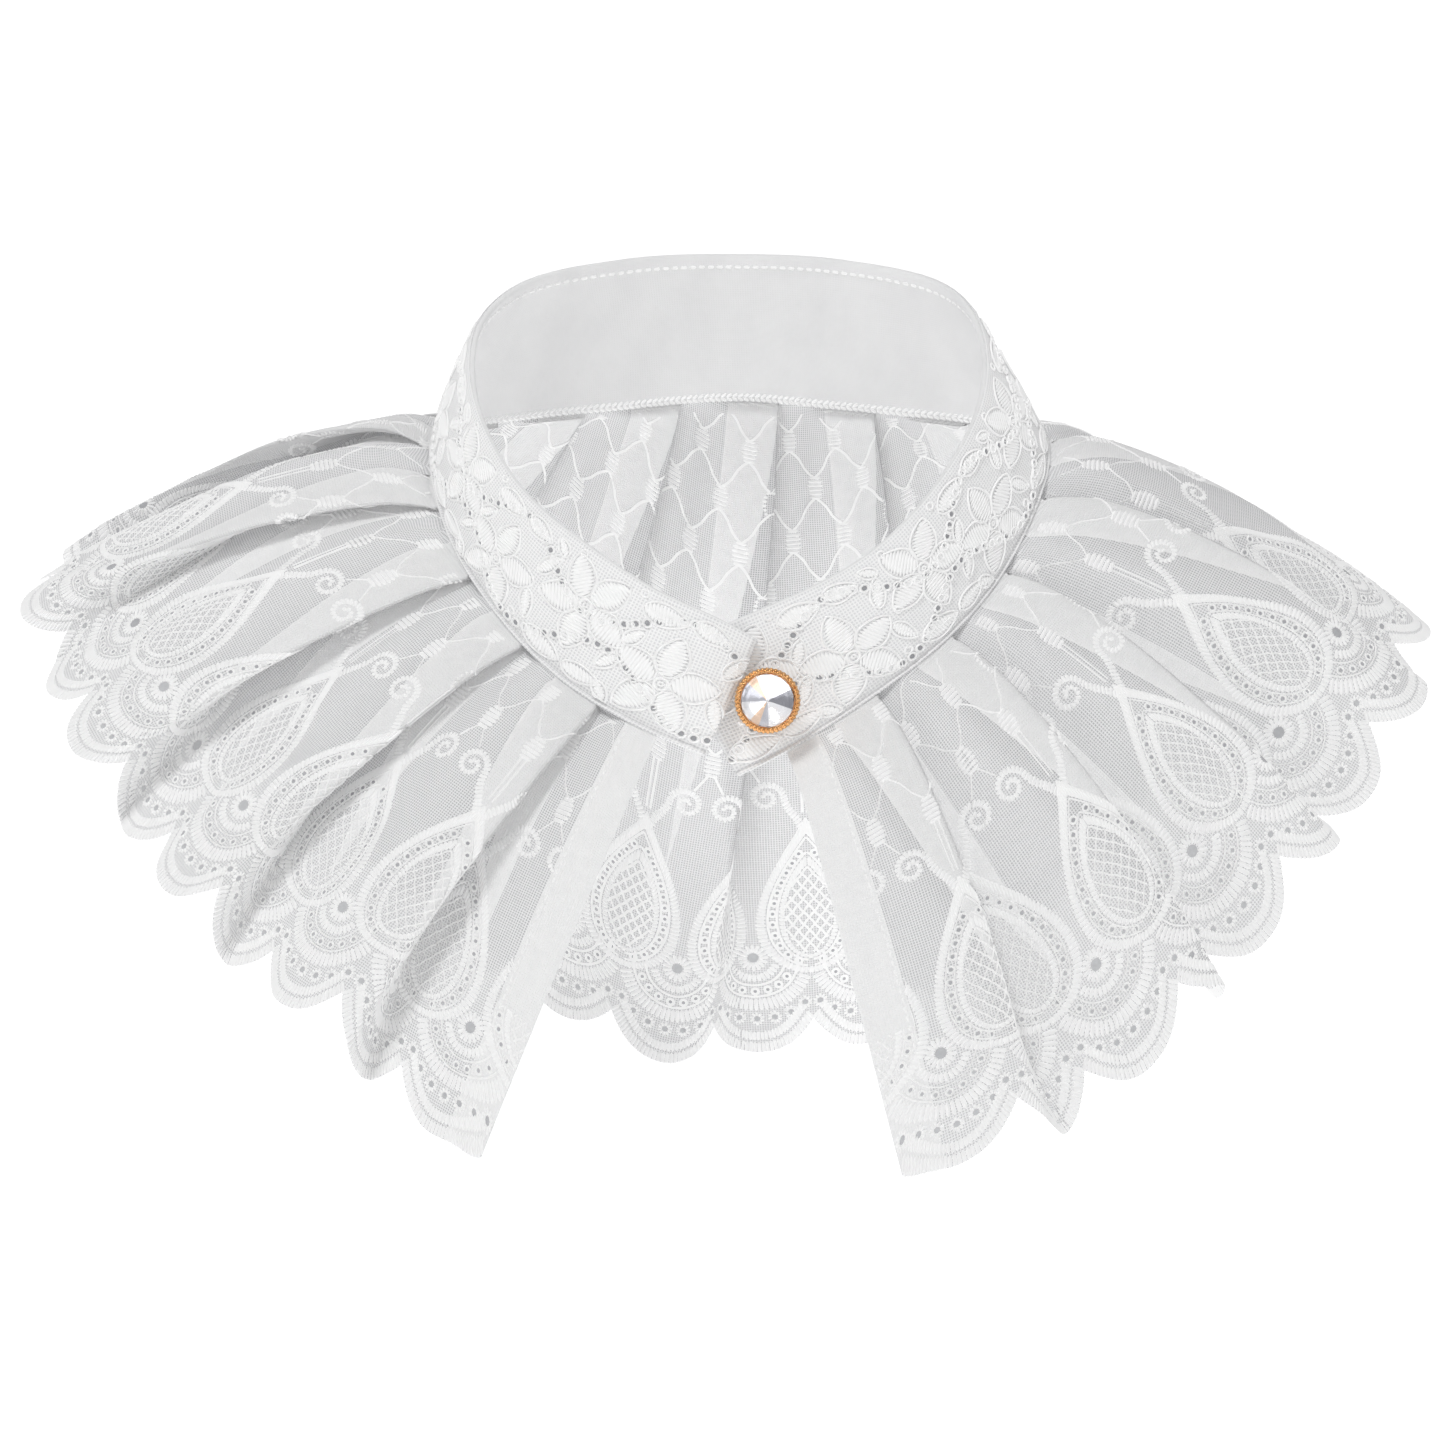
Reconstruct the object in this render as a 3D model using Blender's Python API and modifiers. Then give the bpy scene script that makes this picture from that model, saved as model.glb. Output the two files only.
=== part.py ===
"""Detachable collar: a lace-covered stand band with a plain facing, a pleated cotton cape with a
scalloped hem, and one shank button held by a thread loop. Metres, +Z up, the front faces -Y.
The origin is the middle of the neck, level with the band's lower edge at the sides."""

import math

import bmesh
import bpy
import numpy as np
from mathutils import Matrix, Vector

MM = 0.001

# The collar's form, a row for each section round the neck, counter-clockwise from the front
# centre and seen from above. Angles are in degrees, radii and heights in millimetres.
SECTION_COLUMNS = ("angle", "top_r", "top_z", "seam_r", "seam_z", "hem_r", "hem_z", "rise")
SECTIONS = (
    (-15, 59.0, -34.5, 71.5, -67.5, 156, -134, 4),
    (0, 60.2, -27.5, 71.0, -60.0, 153, -129, 4),
    (30, 57.0, -15.5, 68.0, -42.0, 146, -117, 4),
    (60, 56.4, 1.5, 67.0, -25.5, 144, -83, 5),
    (90, 57.4, 18.0, 71.6, -4.2, 158, -54, 9),
    (105, 57.8, 26.0, 72.4, -1.0, 160, -60, 12),
    (120, 58.2, 30.0, 69.5, -3.0, 150, -92, 18),
    (150, 53.6, 33.0, 59.0, -3.4, 98, -162, 13),
    (180, 52.0, 33.5, 56.0, -2.0, 82, -175, 9),
    (210, 54.5, 33.0, 59.5, -3.4, 98, -162, 13),
    (240, 60.4, 29.5, 69.0, -3.0, 152, -88, 20),
    (255, 61.4, 24.5, 71.0, -1.0, 164, -41, 15),
    (270, 60.5, 16.5, 69.4, -5.0, 161, -44, 10),
    (300, 57.8, -1.5, 68.6, -23.0, 143, -85, 5),
    (330, 58.6, -14.6, 70.2, -42.5, 146, -112, 4),
    (342, 59.3, -20.2, 70.4, -48.6, 149, -130, 3),
    (360, 60.4, -28.0, 70.6, -56.5, 156, -130, 4),
    (375, 62.6, -38.0, 71.4, -63.5, 158, -133, 4),
)

# The band: lace outside, plain facing inside. Its ends are cut on the slant where they cross,
# and the left end, as seen from the front, lies over the right one.
LACE_THICK = 1.2
FACING_THICK = 1.0
PIECE_GAP = 0.3
BAND_CROWN = 0.9
BAND_COLUMNS = 60
BAND_ROWS = 4
RIGHT_END_TOP, RIGHT_END_BOTTOM = -13.0, 0.4
LEFT_END_TOP, LEFT_END_BOTTOM = 364.6, 354.6
LAP_START = 40.0
LAP_HALF_STEP = 1.9

# The cape: one strip in knife pleats, all turned the same way.
CAPE_START, CAPE_END = 9.5, 346.3
HEM_START, HEM_END = 13.4, 338.8
CLOTH_THICK = 1.0
LAYER_STEP = 1.8
PLEAT_COUNT = 17
PLEAT_UNDER = 12.2
FIRST_FOLD = 24.0
LAST_TAIL = 15.0
HEM_STRIP = 1007.0
SCALLOP_COUNT = 38
SCALLOP_DEPTH = 9.0
SCALLOP_POWER = 2.2
# Both front corners are cut at full depth: the scallops fade in over this many of them.
CORNER_SCALLOPS = 0.5
CAPE_DROP = 1.0
BAND_HALF_THICK = 0.5 * (LACE_THICK + PIECE_GAP + FACING_THICK)
# The layers step square to the band over this share of the depth, then square to the cape.
SEAM_BLEND = 0.14
# Below 1 the cape springs out near the band and falls straighter towards the hem.
BULGE_EARLY = 0.7
# Above 1 the pleats stay narrow near the seam and spread nearer the hem.
OPENING_POWER = 1.15
# How far a pleat already stands out at half depth, as a share of its opening at the hem.
HALF_DEPTH_LIFT = 0.06
CAPE_ROWS = (0.0, 0.08, 0.2, 0.36, 0.54, 0.72, 0.88, 1.0)
PLEAT_COLUMNS = 11

# How far each pleat stands out where it opens, in mm, from the right front edge round to the
# left one. Real pleats never open evenly.
PLEAT_OPENING = (10, 14, 9, 13, 15, 10, 8, 7, 8, 7, 9, 12, 14, 10, 15, 12, 14)
PLEAT_DRIFT = (0, 1.5, -1, 2, -1.5, 0, 1, -1, 0.5, -0.5, 1, -2, 1.5, -1, 2, -1.5, 0.5)

# The button: a knurled gilt rim round a faceted stone, on a shank.
BUTTON_ANGLE = 5.9
BUTTON_ALONG = 0.6
RIM_RADIUS = 7.1
STONE_RADIUS = 5.7
RIM_HEIGHT = 3.4
STONE_HEIGHT = 2.2
KNURL_COUNT = 44
KNURL_DEPTH = 0.3
FACET_COUNT = 16
SHANK_RADIUS = 1.4
SHANK_LENGTH = 4.2
SEAT_DEPTH = 1.0
LOOP_THICK = 1.0
LOOP_RADIUS = 2.5
LOOP_LOW = 0.9
LOOP_HIGH = 2.5
# How far the loop's upper and lower legs run from the button's axis to the upper end's cut edge.
LOOP_LEGS = (6.4, 7.5)


def column(name):
    """One column of the section table as an array."""
    index = SECTION_COLUMNS.index(name)
    return np.array([row[index] for row in SECTIONS], float)


ANGLES = column("angle")


def smooth_read(xs, ys, x):
    """A smooth curve through the points xs, ys, read at x: cubic pieces with the chord slopes."""
    x = np.clip(np.asarray(x, float), xs[0], xs[-1])
    slopes = np.gradient(ys, xs)
    i = np.clip(np.searchsorted(xs, x, side="right") - 1, 0, len(xs) - 2)
    step = xs[i + 1] - xs[i]
    t = (x - xs[i]) / step
    rise, fall = t * t * (3 - 2 * t), (t - 1) * t
    tangents = slopes[i] * (t - 1) + slopes[i + 1] * t
    return ys[i] * (1 - rise) + ys[i + 1] * rise + step * fall * tangents


def smoothstep(t):
    t = np.clip(t, 0.0, 1.0)
    return t * t * (3 - 2 * t)


def ring_point(angle, radius, height):
    """Points of a ring, in mm, at angles counted from the front."""
    a = np.radians(angle)
    return np.stack([radius * np.sin(a), -radius * np.cos(a), height + 0 * a], axis=-1)


def band_skin(angle, down):
    """The band's outer face. down runs from 0 at the top edge to 1 at the seam."""
    radius = (1 - down) * smooth_read(ANGLES, column("top_r"), angle)
    radius = radius + down * smooth_read(ANGLES, column("seam_r"), angle)
    height = (1 - down) * smooth_read(ANGLES, column("top_z"), angle)
    height = height + down * smooth_read(ANGLES, column("seam_z"), angle)
    lap = smoothstep((angle - 360 + LAP_START) / LAP_START)
    lap = lap - smoothstep((LAP_START - angle) / LAP_START)
    crown = BAND_CROWN * 4 * down * (1 - down)
    return ring_point(angle, radius + crown + LAP_HALF_STEP * lap, height)


def band_point(angle, down, inward=0.0):
    """A point of the band, moved inward square to its outer face."""
    along = band_skin(angle + 0.5, down) - band_skin(angle - 0.5, down)
    fall = band_skin(angle, down + 0.02) - band_skin(angle, down - 0.02)
    out = np.cross(fall, along)
    out = out / np.linalg.norm(out, axis=-1, keepdims=True)
    return band_skin(angle, down) - out * inward


def even_curve(angle, points):
    """A ring read by the share of its length: the points and angles at shares from 0 to 1."""
    steps = np.linalg.norm(np.diff(points, axis=0), axis=1)
    run = np.concatenate([[0.0], np.cumsum(steps)])
    share = run / run[-1]

    def read(q):
        return np.stack([np.interp(q, share, points[:, k]) for k in range(3)], axis=-1)

    def angle_at(q):
        return np.interp(q, share, angle)

    return read, angle_at, run[-1]


def seam_curve():
    """Where the cape meets the band: just under the middle of the band's thickness."""
    angle = np.linspace(CAPE_START, CAPE_END, 600)
    height = np.linalg.norm(band_skin(angle, 1.0) - band_skin(angle, 0.0), axis=-1)
    return even_curve(angle, band_point(angle, 1.0 + CAPE_DROP / height, BAND_HALF_THICK))


def hem_curve():
    angle = np.linspace(HEM_START, HEM_END, 600)
    radius = smooth_read(ANGLES, column("hem_r"), angle)
    return even_curve(angle, ring_point(angle, radius, smooth_read(ANGLES, column("hem_z"), angle)))


SEAM, SEAM_ANGLE, SEAM_LENGTH = seam_curve()
HEM, _, HEM_LENGTH = hem_curve()


def pleat_nodes():
    """Where the folds lie: along the strip (share of its length), round the seam, round the hem
    (shares of those rings), and how far out the cloth lies at the seam (layers) and at the hem
    (share of the pleat's opening)."""
    pitch = (SEAM_LENGTH - FIRST_FOLD - LAST_TAIL) / (PLEAT_COUNT - 1)
    turn = 0.5 * LAYER_STEP
    strip, seam, lift_seam, lift_hem = [0.0], [0.0], [0.0], [0.3]
    for k in range(PLEAT_COUNT):
        fold = FIRST_FOLD + k * pitch
        at = FIRST_FOLD + k * (pitch + 2 * PLEAT_UNDER)
        if k:
            under = fold - pitch
            start = at - pitch - PLEAT_UNDER
            for along, place, layer, share in (
                (1.0, under - PLEAT_UNDER + turn, -2.0, 0.03),
                (PLEAT_UNDER - 1.5, under - 1.5, -2.0, 0.3),
                (PLEAT_UNDER + 2.5, under + 2.5, -1.4, 0.42),
                (PLEAT_UNDER + 6.5, under + 6.5, -0.15, 0.6),
            ):
                strip.append(start + along)
                seam.append(place)
                lift_seam.append(layer)
                lift_hem.append(share)
        for along, place, layer, share in (
            (-8.0, fold - 8.0, 0.0, 0.86),
            (-1.2, fold - turn, 0.0, 0.99),
            (0.0, fold, -0.5, 1.0),
            (1.2, fold - turn, -1.0, 0.95),
            (0.5 * PLEAT_UNDER, fold - 0.5 * PLEAT_UNDER, -1.0, 0.5),
            (PLEAT_UNDER - 1.2, fold - PLEAT_UNDER + turn, -1.0, 0.05),
            (PLEAT_UNDER, fold - PLEAT_UNDER, -1.5, 0.0),
        ):
            strip.append(at + along)
            seam.append(place)
            lift_seam.append(layer)
            lift_hem.append(share)
    total = at + 2 * PLEAT_UNDER + LAST_TAIL
    for along, place, layer, share in (
        (-PLEAT_UNDER - LAST_TAIL + 1.0, fold - PLEAT_UNDER + turn, -2.0, 0.03),
        (-LAST_TAIL - 1.5, fold - 1.5, -2.0, 0.3),
        (-LAST_TAIL + 2.5, fold + 2.5, -1.4, 0.42),
        (-LAST_TAIL + 6.5, fold + 6.5, -0.3, 0.6),
        (0.0, SEAM_LENGTH, 0.0, 0.8),
    ):
        strip.append(total + along)
        seam.append(place)
        lift_seam.append(layer)
        lift_hem.append(share)
    strip = np.array(strip) / total
    return strip, np.array(seam) / SEAM_LENGTH, np.array(lift_seam), np.array(lift_hem)


STRIP, SEAM_SHARE, LAYER, OPENING_SHARE = pleat_nodes()


def opening_at(strip, table):
    """A value kept for each pleat, read anywhere along the strip."""
    middles = (np.arange(PLEAT_COUNT) + 0.5) / PLEAT_COUNT
    return smooth_read(middles, np.array(table, float), strip)


def hem_places():
    """Shares of the hem ring for the pleat nodes: the strip keeps its length, so a steep stretch
    covers less of the ring than a flat one."""
    run = np.diff(STRIP) * HEM_STRIP
    height = np.diff(OPENING_SHARE * opening_at(STRIP, PLEAT_OPENING))
    advance = np.sqrt(np.maximum(run * run - height * height, (0.35 * run) ** 2))
    place = np.concatenate([[0.0], np.cumsum(advance)])
    return place / place[-1]


HEM_SHARE = hem_places()


def cape_frame(q, w):
    """Base surface of the cape, with the outward direction that the layers step along."""
    seam, hem = SEAM(q), HEM(q)
    angle = SEAM_ANGLE(q)
    nudge = 1e-3
    along = HEM(np.minimum(q + nudge, 1.0)) - HEM(np.maximum(q - nudge, 0.0))
    along = along + SEAM(np.minimum(q + nudge, 1.0)) - SEAM(np.maximum(q - nudge, 0.0))
    out = np.cross(along, hem - seam)
    out = -out / np.linalg.norm(out, axis=-1, keepdims=True)
    rise = smooth_read(ANGLES, column("rise"), angle)
    early = w ** BULGE_EARLY
    arch = (rise * 4 * early * (1 - early))[..., None]
    base = seam + (hem - seam) * w[..., None] + out * arch
    square = band_point(angle, 1.0) - band_point(angle, 1.0, 1.0)
    mix = smoothstep(w / SEAM_BLEND)[..., None]
    step = square * (1 - mix) + out * mix
    return base, step / np.linalg.norm(step, axis=-1, keepdims=True)


def cape_point(strip, w):
    """A point of the pleated cape: strip is the share along the cloth, w the share of its depth."""
    strip, w = np.broadcast_arrays(np.asarray(strip, float), np.asarray(w, float))
    seam_q = np.interp(strip, STRIP, SEAM_SHARE)
    hem_q = np.interp(strip, STRIP, HEM_SHARE)
    open_share = w ** OPENING_POWER
    drift = opening_at(strip, PLEAT_DRIFT) / HEM_LENGTH * 4 * w * (1 - w) * np.sin(np.pi * strip)
    q = seam_q + (hem_q - seam_q) * open_share + drift
    q = np.clip(q, 0.0, 1.0)
    base, out = cape_frame(q, w)
    layers = LAYER_STEP * (np.interp(strip, STRIP, LAYER) + 1.0)
    opened = opening_at(strip, PLEAT_OPENING) * (np.interp(strip, STRIP, OPENING_SHARE) - 0.5)
    fold = layers * (1 - open_share) + opened * (open_share + HALF_DEPTH_LIFT * 4 * w * (1 - w))
    return base + out * fold[..., None]


def scallop(strip):
    """How much of the scallop depth is cut away: 0 at a scallop's tip, 1 in a valley."""
    phase = (strip * SCALLOP_COUNT) % 1.0
    from_corner = np.minimum(strip, 1.0 - strip) * SCALLOP_COUNT
    return np.abs(2 * phase - 1) ** SCALLOP_POWER * smoothstep(from_corner / CORNER_SCALLOPS)


def cape_depth(strip):
    """The cape's cut depth in mm along the strip, from the seam to the tips."""
    return np.linalg.norm(HEM(strip) - SEAM(strip), axis=-1)


def cape_columns():
    """Strip places of the columns: one on each fold node and even ones between, and for each the
    place that it slides to at the hem, so that every scallop keeps its valleys and tips."""
    fine = [STRIP[0]]
    most = 1.25 / (PLEAT_COUNT * PLEAT_COLUMNS)
    for low, high in zip(STRIP[:-1], STRIP[1:]):
        parts = max(1, math.ceil((high - low) / most))
        fine.extend(low + (high - low) * (i + 1) / parts for i in range(parts))
    upper = np.array(fine)
    lower = upper.copy()
    taken = set()
    for k in range(1, 2 * SCALLOP_COUNT):
        target = k / (2 * SCALLOP_COUNT)
        for i in np.argsort(np.abs(upper - target)):
            if i not in taken and 0 < i < len(upper) - 1:
                taken.add(int(i))
                lower[i] = target
                break
    return upper, np.sort(lower)


def new_object(name, mesh, material, collection):
    obj = bpy.data.objects.new(name, mesh)
    obj.data.materials.append(material)
    collection.objects.link(obj)
    return obj


def sheet_mesh(name, points):
    """A mesh through a grid of points in mm, rows by columns, with its normals to the outside."""
    rows, columns, _ = points.shape
    mesh = bpy.data.meshes.new(name)
    corner = np.arange(rows * columns).reshape(rows, columns)
    faces = np.stack(
        [corner[:-1, :-1], corner[1:, :-1], corner[1:, 1:], corner[:-1, 1:]], axis=-1
    ).reshape(-1, 4)
    mesh.from_pydata((points.reshape(-1, 3) * MM).tolist(), [], faces.tolist())
    mesh.update()
    mesh.shade_smooth()
    return mesh


def give_thickness(obj, thickness, offset):
    shell = obj.modifiers.new("Cloth", "SOLIDIFY")
    shell.thickness = thickness * MM
    shell.offset = offset


def material(name, colour, roughness, metallic=0.0, transmission=0.0):
    mat = bpy.data.materials.new(name)
    mat.use_nodes = True
    shader = mat.node_tree.nodes["Principled BSDF"]
    shader.inputs["Base Color"].default_value = (*colour, 1.0)
    shader.inputs["Roughness"].default_value = roughness
    shader.inputs["Metallic"].default_value = metallic
    shader.inputs["Transmission Weight"].default_value = transmission
    return mat


def make_band(collection, lace, cotton):
    """The stand band: the lace outside and the facing inside it, both cut on the slant."""
    along = np.linspace(0, 1, BAND_COLUMNS + 1)[None, :]
    down = np.linspace(0, 1, BAND_ROWS)[:, None]
    first = RIGHT_END_TOP + (RIGHT_END_BOTTOM - RIGHT_END_TOP) * down
    last = LEFT_END_TOP + (LEFT_END_BOTTOM - LEFT_END_TOP) * down
    angle = first + (last - first) * along
    down = np.broadcast_to(down, angle.shape)
    outer = new_object("band_lace", sheet_mesh("band_lace", band_point(angle, down)), lace, collection)
    give_thickness(outer, LACE_THICK, -1.0)
    inset = LACE_THICK + PIECE_GAP
    inner_mesh = sheet_mesh("band_facing", band_point(angle, down, inset))
    inner = new_object("band_facing", inner_mesh, cotton, collection)
    give_thickness(inner, FACING_THICK, -1.0)


def make_cape(collection, voile):
    """The pleated cape with its scalloped hem."""
    upper, lower = cape_columns()
    rows = []
    for w in CAPE_ROWS:
        strip = upper + (lower - upper) * w ** 3
        cut = SCALLOP_DEPTH * scallop(strip) / cape_depth(strip)
        rows.append(cape_point(strip, w * (1 - cut)))
    obj = new_object("cape", sheet_mesh("cape", np.stack(rows)), voile, collection)
    give_thickness(obj, CLOTH_THICK, 0.0)


def button_matrix():
    """Places the button on the band's outer face: its own +Z is the way it faces."""
    angle = np.array(BUTTON_ANGLE)
    here = band_point(angle, np.array(BUTTON_ALONG))
    side = band_point(angle + 1.0, np.array(BUTTON_ALONG)) - here
    fall = band_point(angle, np.array(BUTTON_ALONG + 0.05)) - here
    face = Vector(np.cross(fall, side)).normalized()
    across = Vector(side).normalized()
    up = face.cross(across).normalized()
    turn = Matrix((across, up, face)).transposed().to_4x4()
    return Matrix.Translation(Vector(here) * MM) @ turn


def turned(name, profile, steps, mat, collection, place):
    """A turned piece from a profile of (radius, height) points in mm that closes on the axis."""
    mesh = bpy.data.meshes.new(name)
    points = [(r * MM, 0.0, z * MM) for r, z in profile]
    edges = [(i, i + 1) for i in range(len(points) - 1)]
    mesh.from_pydata(points, edges, [])
    obj = new_object(name, mesh, mat, collection)
    screw = obj.modifiers.new("Turn", "SCREW")
    screw.steps = steps
    screw.render_steps = steps
    screw.use_merge_vertices = True
    screw.merge_threshold = 0.00001
    obj.matrix_world = place
    return obj


def make_button(collection, gilt, crystal):
    place = button_matrix()
    base = PIECE_GAP + SHANK_LENGTH
    seat = base + SEAT_DEPTH
    top = base + RIM_HEIGHT
    turned(
        "button_shank",
        [(0, base - PIECE_GAP), (SHANK_RADIUS, base - PIECE_GAP), (SHANK_RADIUS, PIECE_GAP), (0, PIECE_GAP)],
        16, gilt, collection, place,
    )
    # The rim is a cup with a knurled outside: every other step of the outer ring stands proud.
    steps = 2 * KNURL_COUNT
    inner = STONE_RADIUS + PIECE_GAP
    cup = bmesh.new()
    rings = []
    profile = (
        (inner, seat, 0), (inner, top - 0.5, 0), (inner + 0.35, top, 0), (RIM_RADIUS - 0.3, top - 0.2, 1),
        (RIM_RADIUS, top - 0.9, 1), (RIM_RADIUS, base + 1.2, 1), (RIM_RADIUS - 0.9, base, 0),
    )
    for radius, height, knurled in profile:
        ring = []
        for i in range(steps):
            r = radius - KNURL_DEPTH * knurled * (i % 2)
            a = 2 * math.pi * i / steps
            ring.append(cup.verts.new((r * math.cos(a) * MM, r * math.sin(a) * MM, height * MM)))
        rings.append(ring)
    for low, high in zip(rings[:-1], rings[1:]):
        for i in range(steps):
            j = (i + 1) % steps
            cup.faces.new((low[i], high[i], high[j], low[j]))
    cup.faces.new(rings[0])
    cup.faces.new(list(reversed(rings[-1])))
    bmesh.ops.recalc_face_normals(cup, faces=cup.faces)
    mesh = bpy.data.meshes.new("button_rim")
    cup.to_mesh(mesh)
    cup.free()
    new_object("button_rim", mesh, gilt, collection).matrix_world = place
    # The stone: a flat back, a girdle and two rows of facets that meet in a low point.
    low = seat + PIECE_GAP
    turned(
        "button_stone",
        [(0, low + STONE_HEIGHT + 0.9), (0.62 * STONE_RADIUS, low + STONE_HEIGHT + 0.45),
         (STONE_RADIUS, low + STONE_HEIGHT - 0.8), (STONE_RADIUS, low + 0.2), (STONE_RADIUS - 0.4, low), (0, low)],
        FACET_COUNT, crystal, collection, place,
    )
    return place


def make_loop(collection, thread, place):
    """The thread loop: out of the upper end's edge, down round the shank and back."""
    upper_leg, lower_leg = LOOP_LEGS
    route = [(-upper_leg, LOOP_RADIUS * 0.7, LOOP_HIGH)]
    for step in range(9):
        a = math.radians(100 - 25 * step)
        route.append((LOOP_RADIUS * math.cos(a), LOOP_RADIUS * math.sin(a), LOOP_LOW))
    route.append((-lower_leg, -LOOP_RADIUS * 0.7, LOOP_HIGH))
    curve = bpy.data.curves.new("button_loop", "CURVE")
    curve.dimensions = "3D"
    curve.bevel_depth = 0.5 * LOOP_THICK * MM
    curve.bevel_resolution = 2
    curve.use_fill_caps = True
    spline = curve.splines.new("POLY")
    spline.points.add(len(route) - 1)
    for point, (x, y, z) in zip(spline.points, route):
        point.co = (x * MM, y * MM, z * MM, 1.0)
    obj = bpy.data.objects.new("button_loop", curve)
    obj.data.materials.append(thread)
    collection.objects.link(obj)
    obj.matrix_world = place


def main():
    for obj in list(bpy.data.objects):
        bpy.data.objects.remove(obj)
    collection = bpy.data.collections.new("detachable_collar")
    bpy.context.scene.collection.children.link(collection)
    lace = material("cotton_guipure_lace", (0.86, 0.86, 0.86), 0.85)
    cotton = material("plain_cotton", (0.84, 0.84, 0.84), 0.8)
    voile = material("cotton_voile", (0.85, 0.85, 0.86), 0.8)
    gilt = material("gilt_brass", (0.78, 0.5, 0.26), 0.25, metallic=1.0)
    crystal = material("cut_crystal", (0.95, 0.95, 0.97), 0.03, transmission=0.9)
    make_band(collection, lace, cotton)
    make_cape(collection, voile)
    place = make_button(collection, gilt, crystal)
    make_loop(collection, lace, place)


main()
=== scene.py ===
# %% [markdown]
# # A detachable collar, from frame to finished cloth
# The object is a white cotton collar that is worn over a plain neckline. It has a stand band
# covered with floral lace, a plain facing inside the band, a pleated cape of embroidered voile
# with a scalloped hem, and one gilt button with a clear stone.
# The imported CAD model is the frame: it says where the neck is, how far the cape falls and where
# each pleat folds. This file dresses that frame. Lengths are in millimetres until a mesh is made.

# %% Load the frame
import math

import bpy
import numpy as np
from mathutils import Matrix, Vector
from mathutils.geometry import delaunay_2d_cdt


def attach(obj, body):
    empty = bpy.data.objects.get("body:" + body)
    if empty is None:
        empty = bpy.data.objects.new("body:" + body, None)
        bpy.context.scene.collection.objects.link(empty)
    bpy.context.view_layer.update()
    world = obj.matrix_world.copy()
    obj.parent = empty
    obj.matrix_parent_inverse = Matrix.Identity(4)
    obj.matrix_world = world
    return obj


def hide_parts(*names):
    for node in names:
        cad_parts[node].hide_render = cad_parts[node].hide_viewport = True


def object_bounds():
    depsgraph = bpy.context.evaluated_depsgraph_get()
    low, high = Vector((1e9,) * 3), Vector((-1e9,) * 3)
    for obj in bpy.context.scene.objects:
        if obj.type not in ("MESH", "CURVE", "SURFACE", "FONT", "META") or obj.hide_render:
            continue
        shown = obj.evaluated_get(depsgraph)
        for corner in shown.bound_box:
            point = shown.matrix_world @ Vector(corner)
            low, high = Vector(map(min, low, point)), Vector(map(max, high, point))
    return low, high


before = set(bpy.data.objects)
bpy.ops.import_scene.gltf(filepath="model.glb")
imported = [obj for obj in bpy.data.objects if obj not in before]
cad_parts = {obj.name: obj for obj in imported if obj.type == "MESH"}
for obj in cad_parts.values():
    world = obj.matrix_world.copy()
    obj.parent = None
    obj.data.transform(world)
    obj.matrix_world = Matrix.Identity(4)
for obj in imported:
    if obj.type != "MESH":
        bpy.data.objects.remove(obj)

MM = 0.001
CAD_BOX = [[float(value) for value in corner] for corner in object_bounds()]
print("CAD box in metres:", CAD_BOX)

# %% [markdown]
# ## Camera, floor and light
# The photograph looks down at the collar by 15 degrees from straight in front, with a long lens,
# so the perspective is weak. The camera could be aimed by an empty and a constraint. It is placed
# by numbers here, because the distance, the focal length and the aim were worked out from points
# of the photograph whose places on the collar are known.
# The light is a white room: a pale world for the overall brightness and three large area lamps.
# White cloth only shows its folds if the light comes from one side, so the key lamp is high and a
# little to the left.

# %% Camera
LOOK_DOWN = math.radians(15)
camera_data = bpy.data.cameras.new("photo_camera")
camera_data.sensor_width = 36.0
camera_data.lens = 132.3
camera = bpy.data.objects.new("photo_camera", camera_data)
camera.location = (-0.0028, -1.1756, 0.2489)
camera.rotation_euler = (math.pi / 2 - LOOK_DOWN, 0.0, 0.0)
bpy.context.scene.collection.objects.link(camera)
bpy.context.scene.camera = camera
print("camera at", tuple(camera.location), "lens", camera_data.lens)


# %% One colour function and one node function
def linear(hex_colour):
    """An sRGB hex colour as the linear numbers that a shader takes."""
    parts = [int(hex_colour[i:i + 2], 16) / 255 for i in (1, 3, 5)]
    return tuple(
        p / 12.92 if p <= 0.04045 else ((p + 0.055) / 1.055) ** 2.4 for p in parts) + (1.0,)


def add_node(tree, kind, settings=None, links=None):
    """Adds one node. Settings are its properties or sockets by name or number."""
    node = tree.nodes.new(kind)
    for name, value in (settings or {}).items():
        if isinstance(name, str) and hasattr(node, name):
            setattr(node, name, value)
        else:
            node.inputs[name].default_value = value
    for name, source in (links or {}).items():
        tree.links.new(source, node.inputs[name])
    return node


def new_material(name):
    """A material and its node tree, which is empty."""
    mat = bpy.data.materials.new(name)
    mat.use_nodes = True
    mat.node_tree.nodes.clear()
    return mat, mat.node_tree


print("white as a shader sees it:", [round(v, 3) for v in linear("#F4F4F5")])

# %% Floor
# Matt studio paper: white, fully rough, so that it carries a soft shadow and no gloss.
studio_paper, paper_tree = new_material("studio_paper")
paper = add_node(paper_tree, "ShaderNodeBsdfPrincipled", {
    "Base Color": linear("#F7F7F7"), "Roughness": 1.0, "Specular IOR Level": 0.0,
    "Emission Color": linear("#FFFFFF"), "Emission Strength": 0.62})
add_node(paper_tree, "ShaderNodeOutputMaterial", None, {"Surface": paper.outputs[0]})
FLOOR_HALF, FLOOR_DROP = 9, 0.004
FLOOR_Z = CAD_BOX[0][2] - FLOOR_DROP
FLOOR_CORNERS = ((-1, -1), (1, -1), (1, 1), (-1, 1))
floor_mesh = bpy.data.meshes.new("floor")
floor_mesh.from_pydata(
    [(x * FLOOR_HALF, y * FLOOR_HALF, FLOOR_Z) for x, y in FLOOR_CORNERS], [], [(0, 1, 2, 3)])
floor = bpy.data.objects.new("floor", floor_mesh)
floor.data.materials.append(studio_paper)
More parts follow.
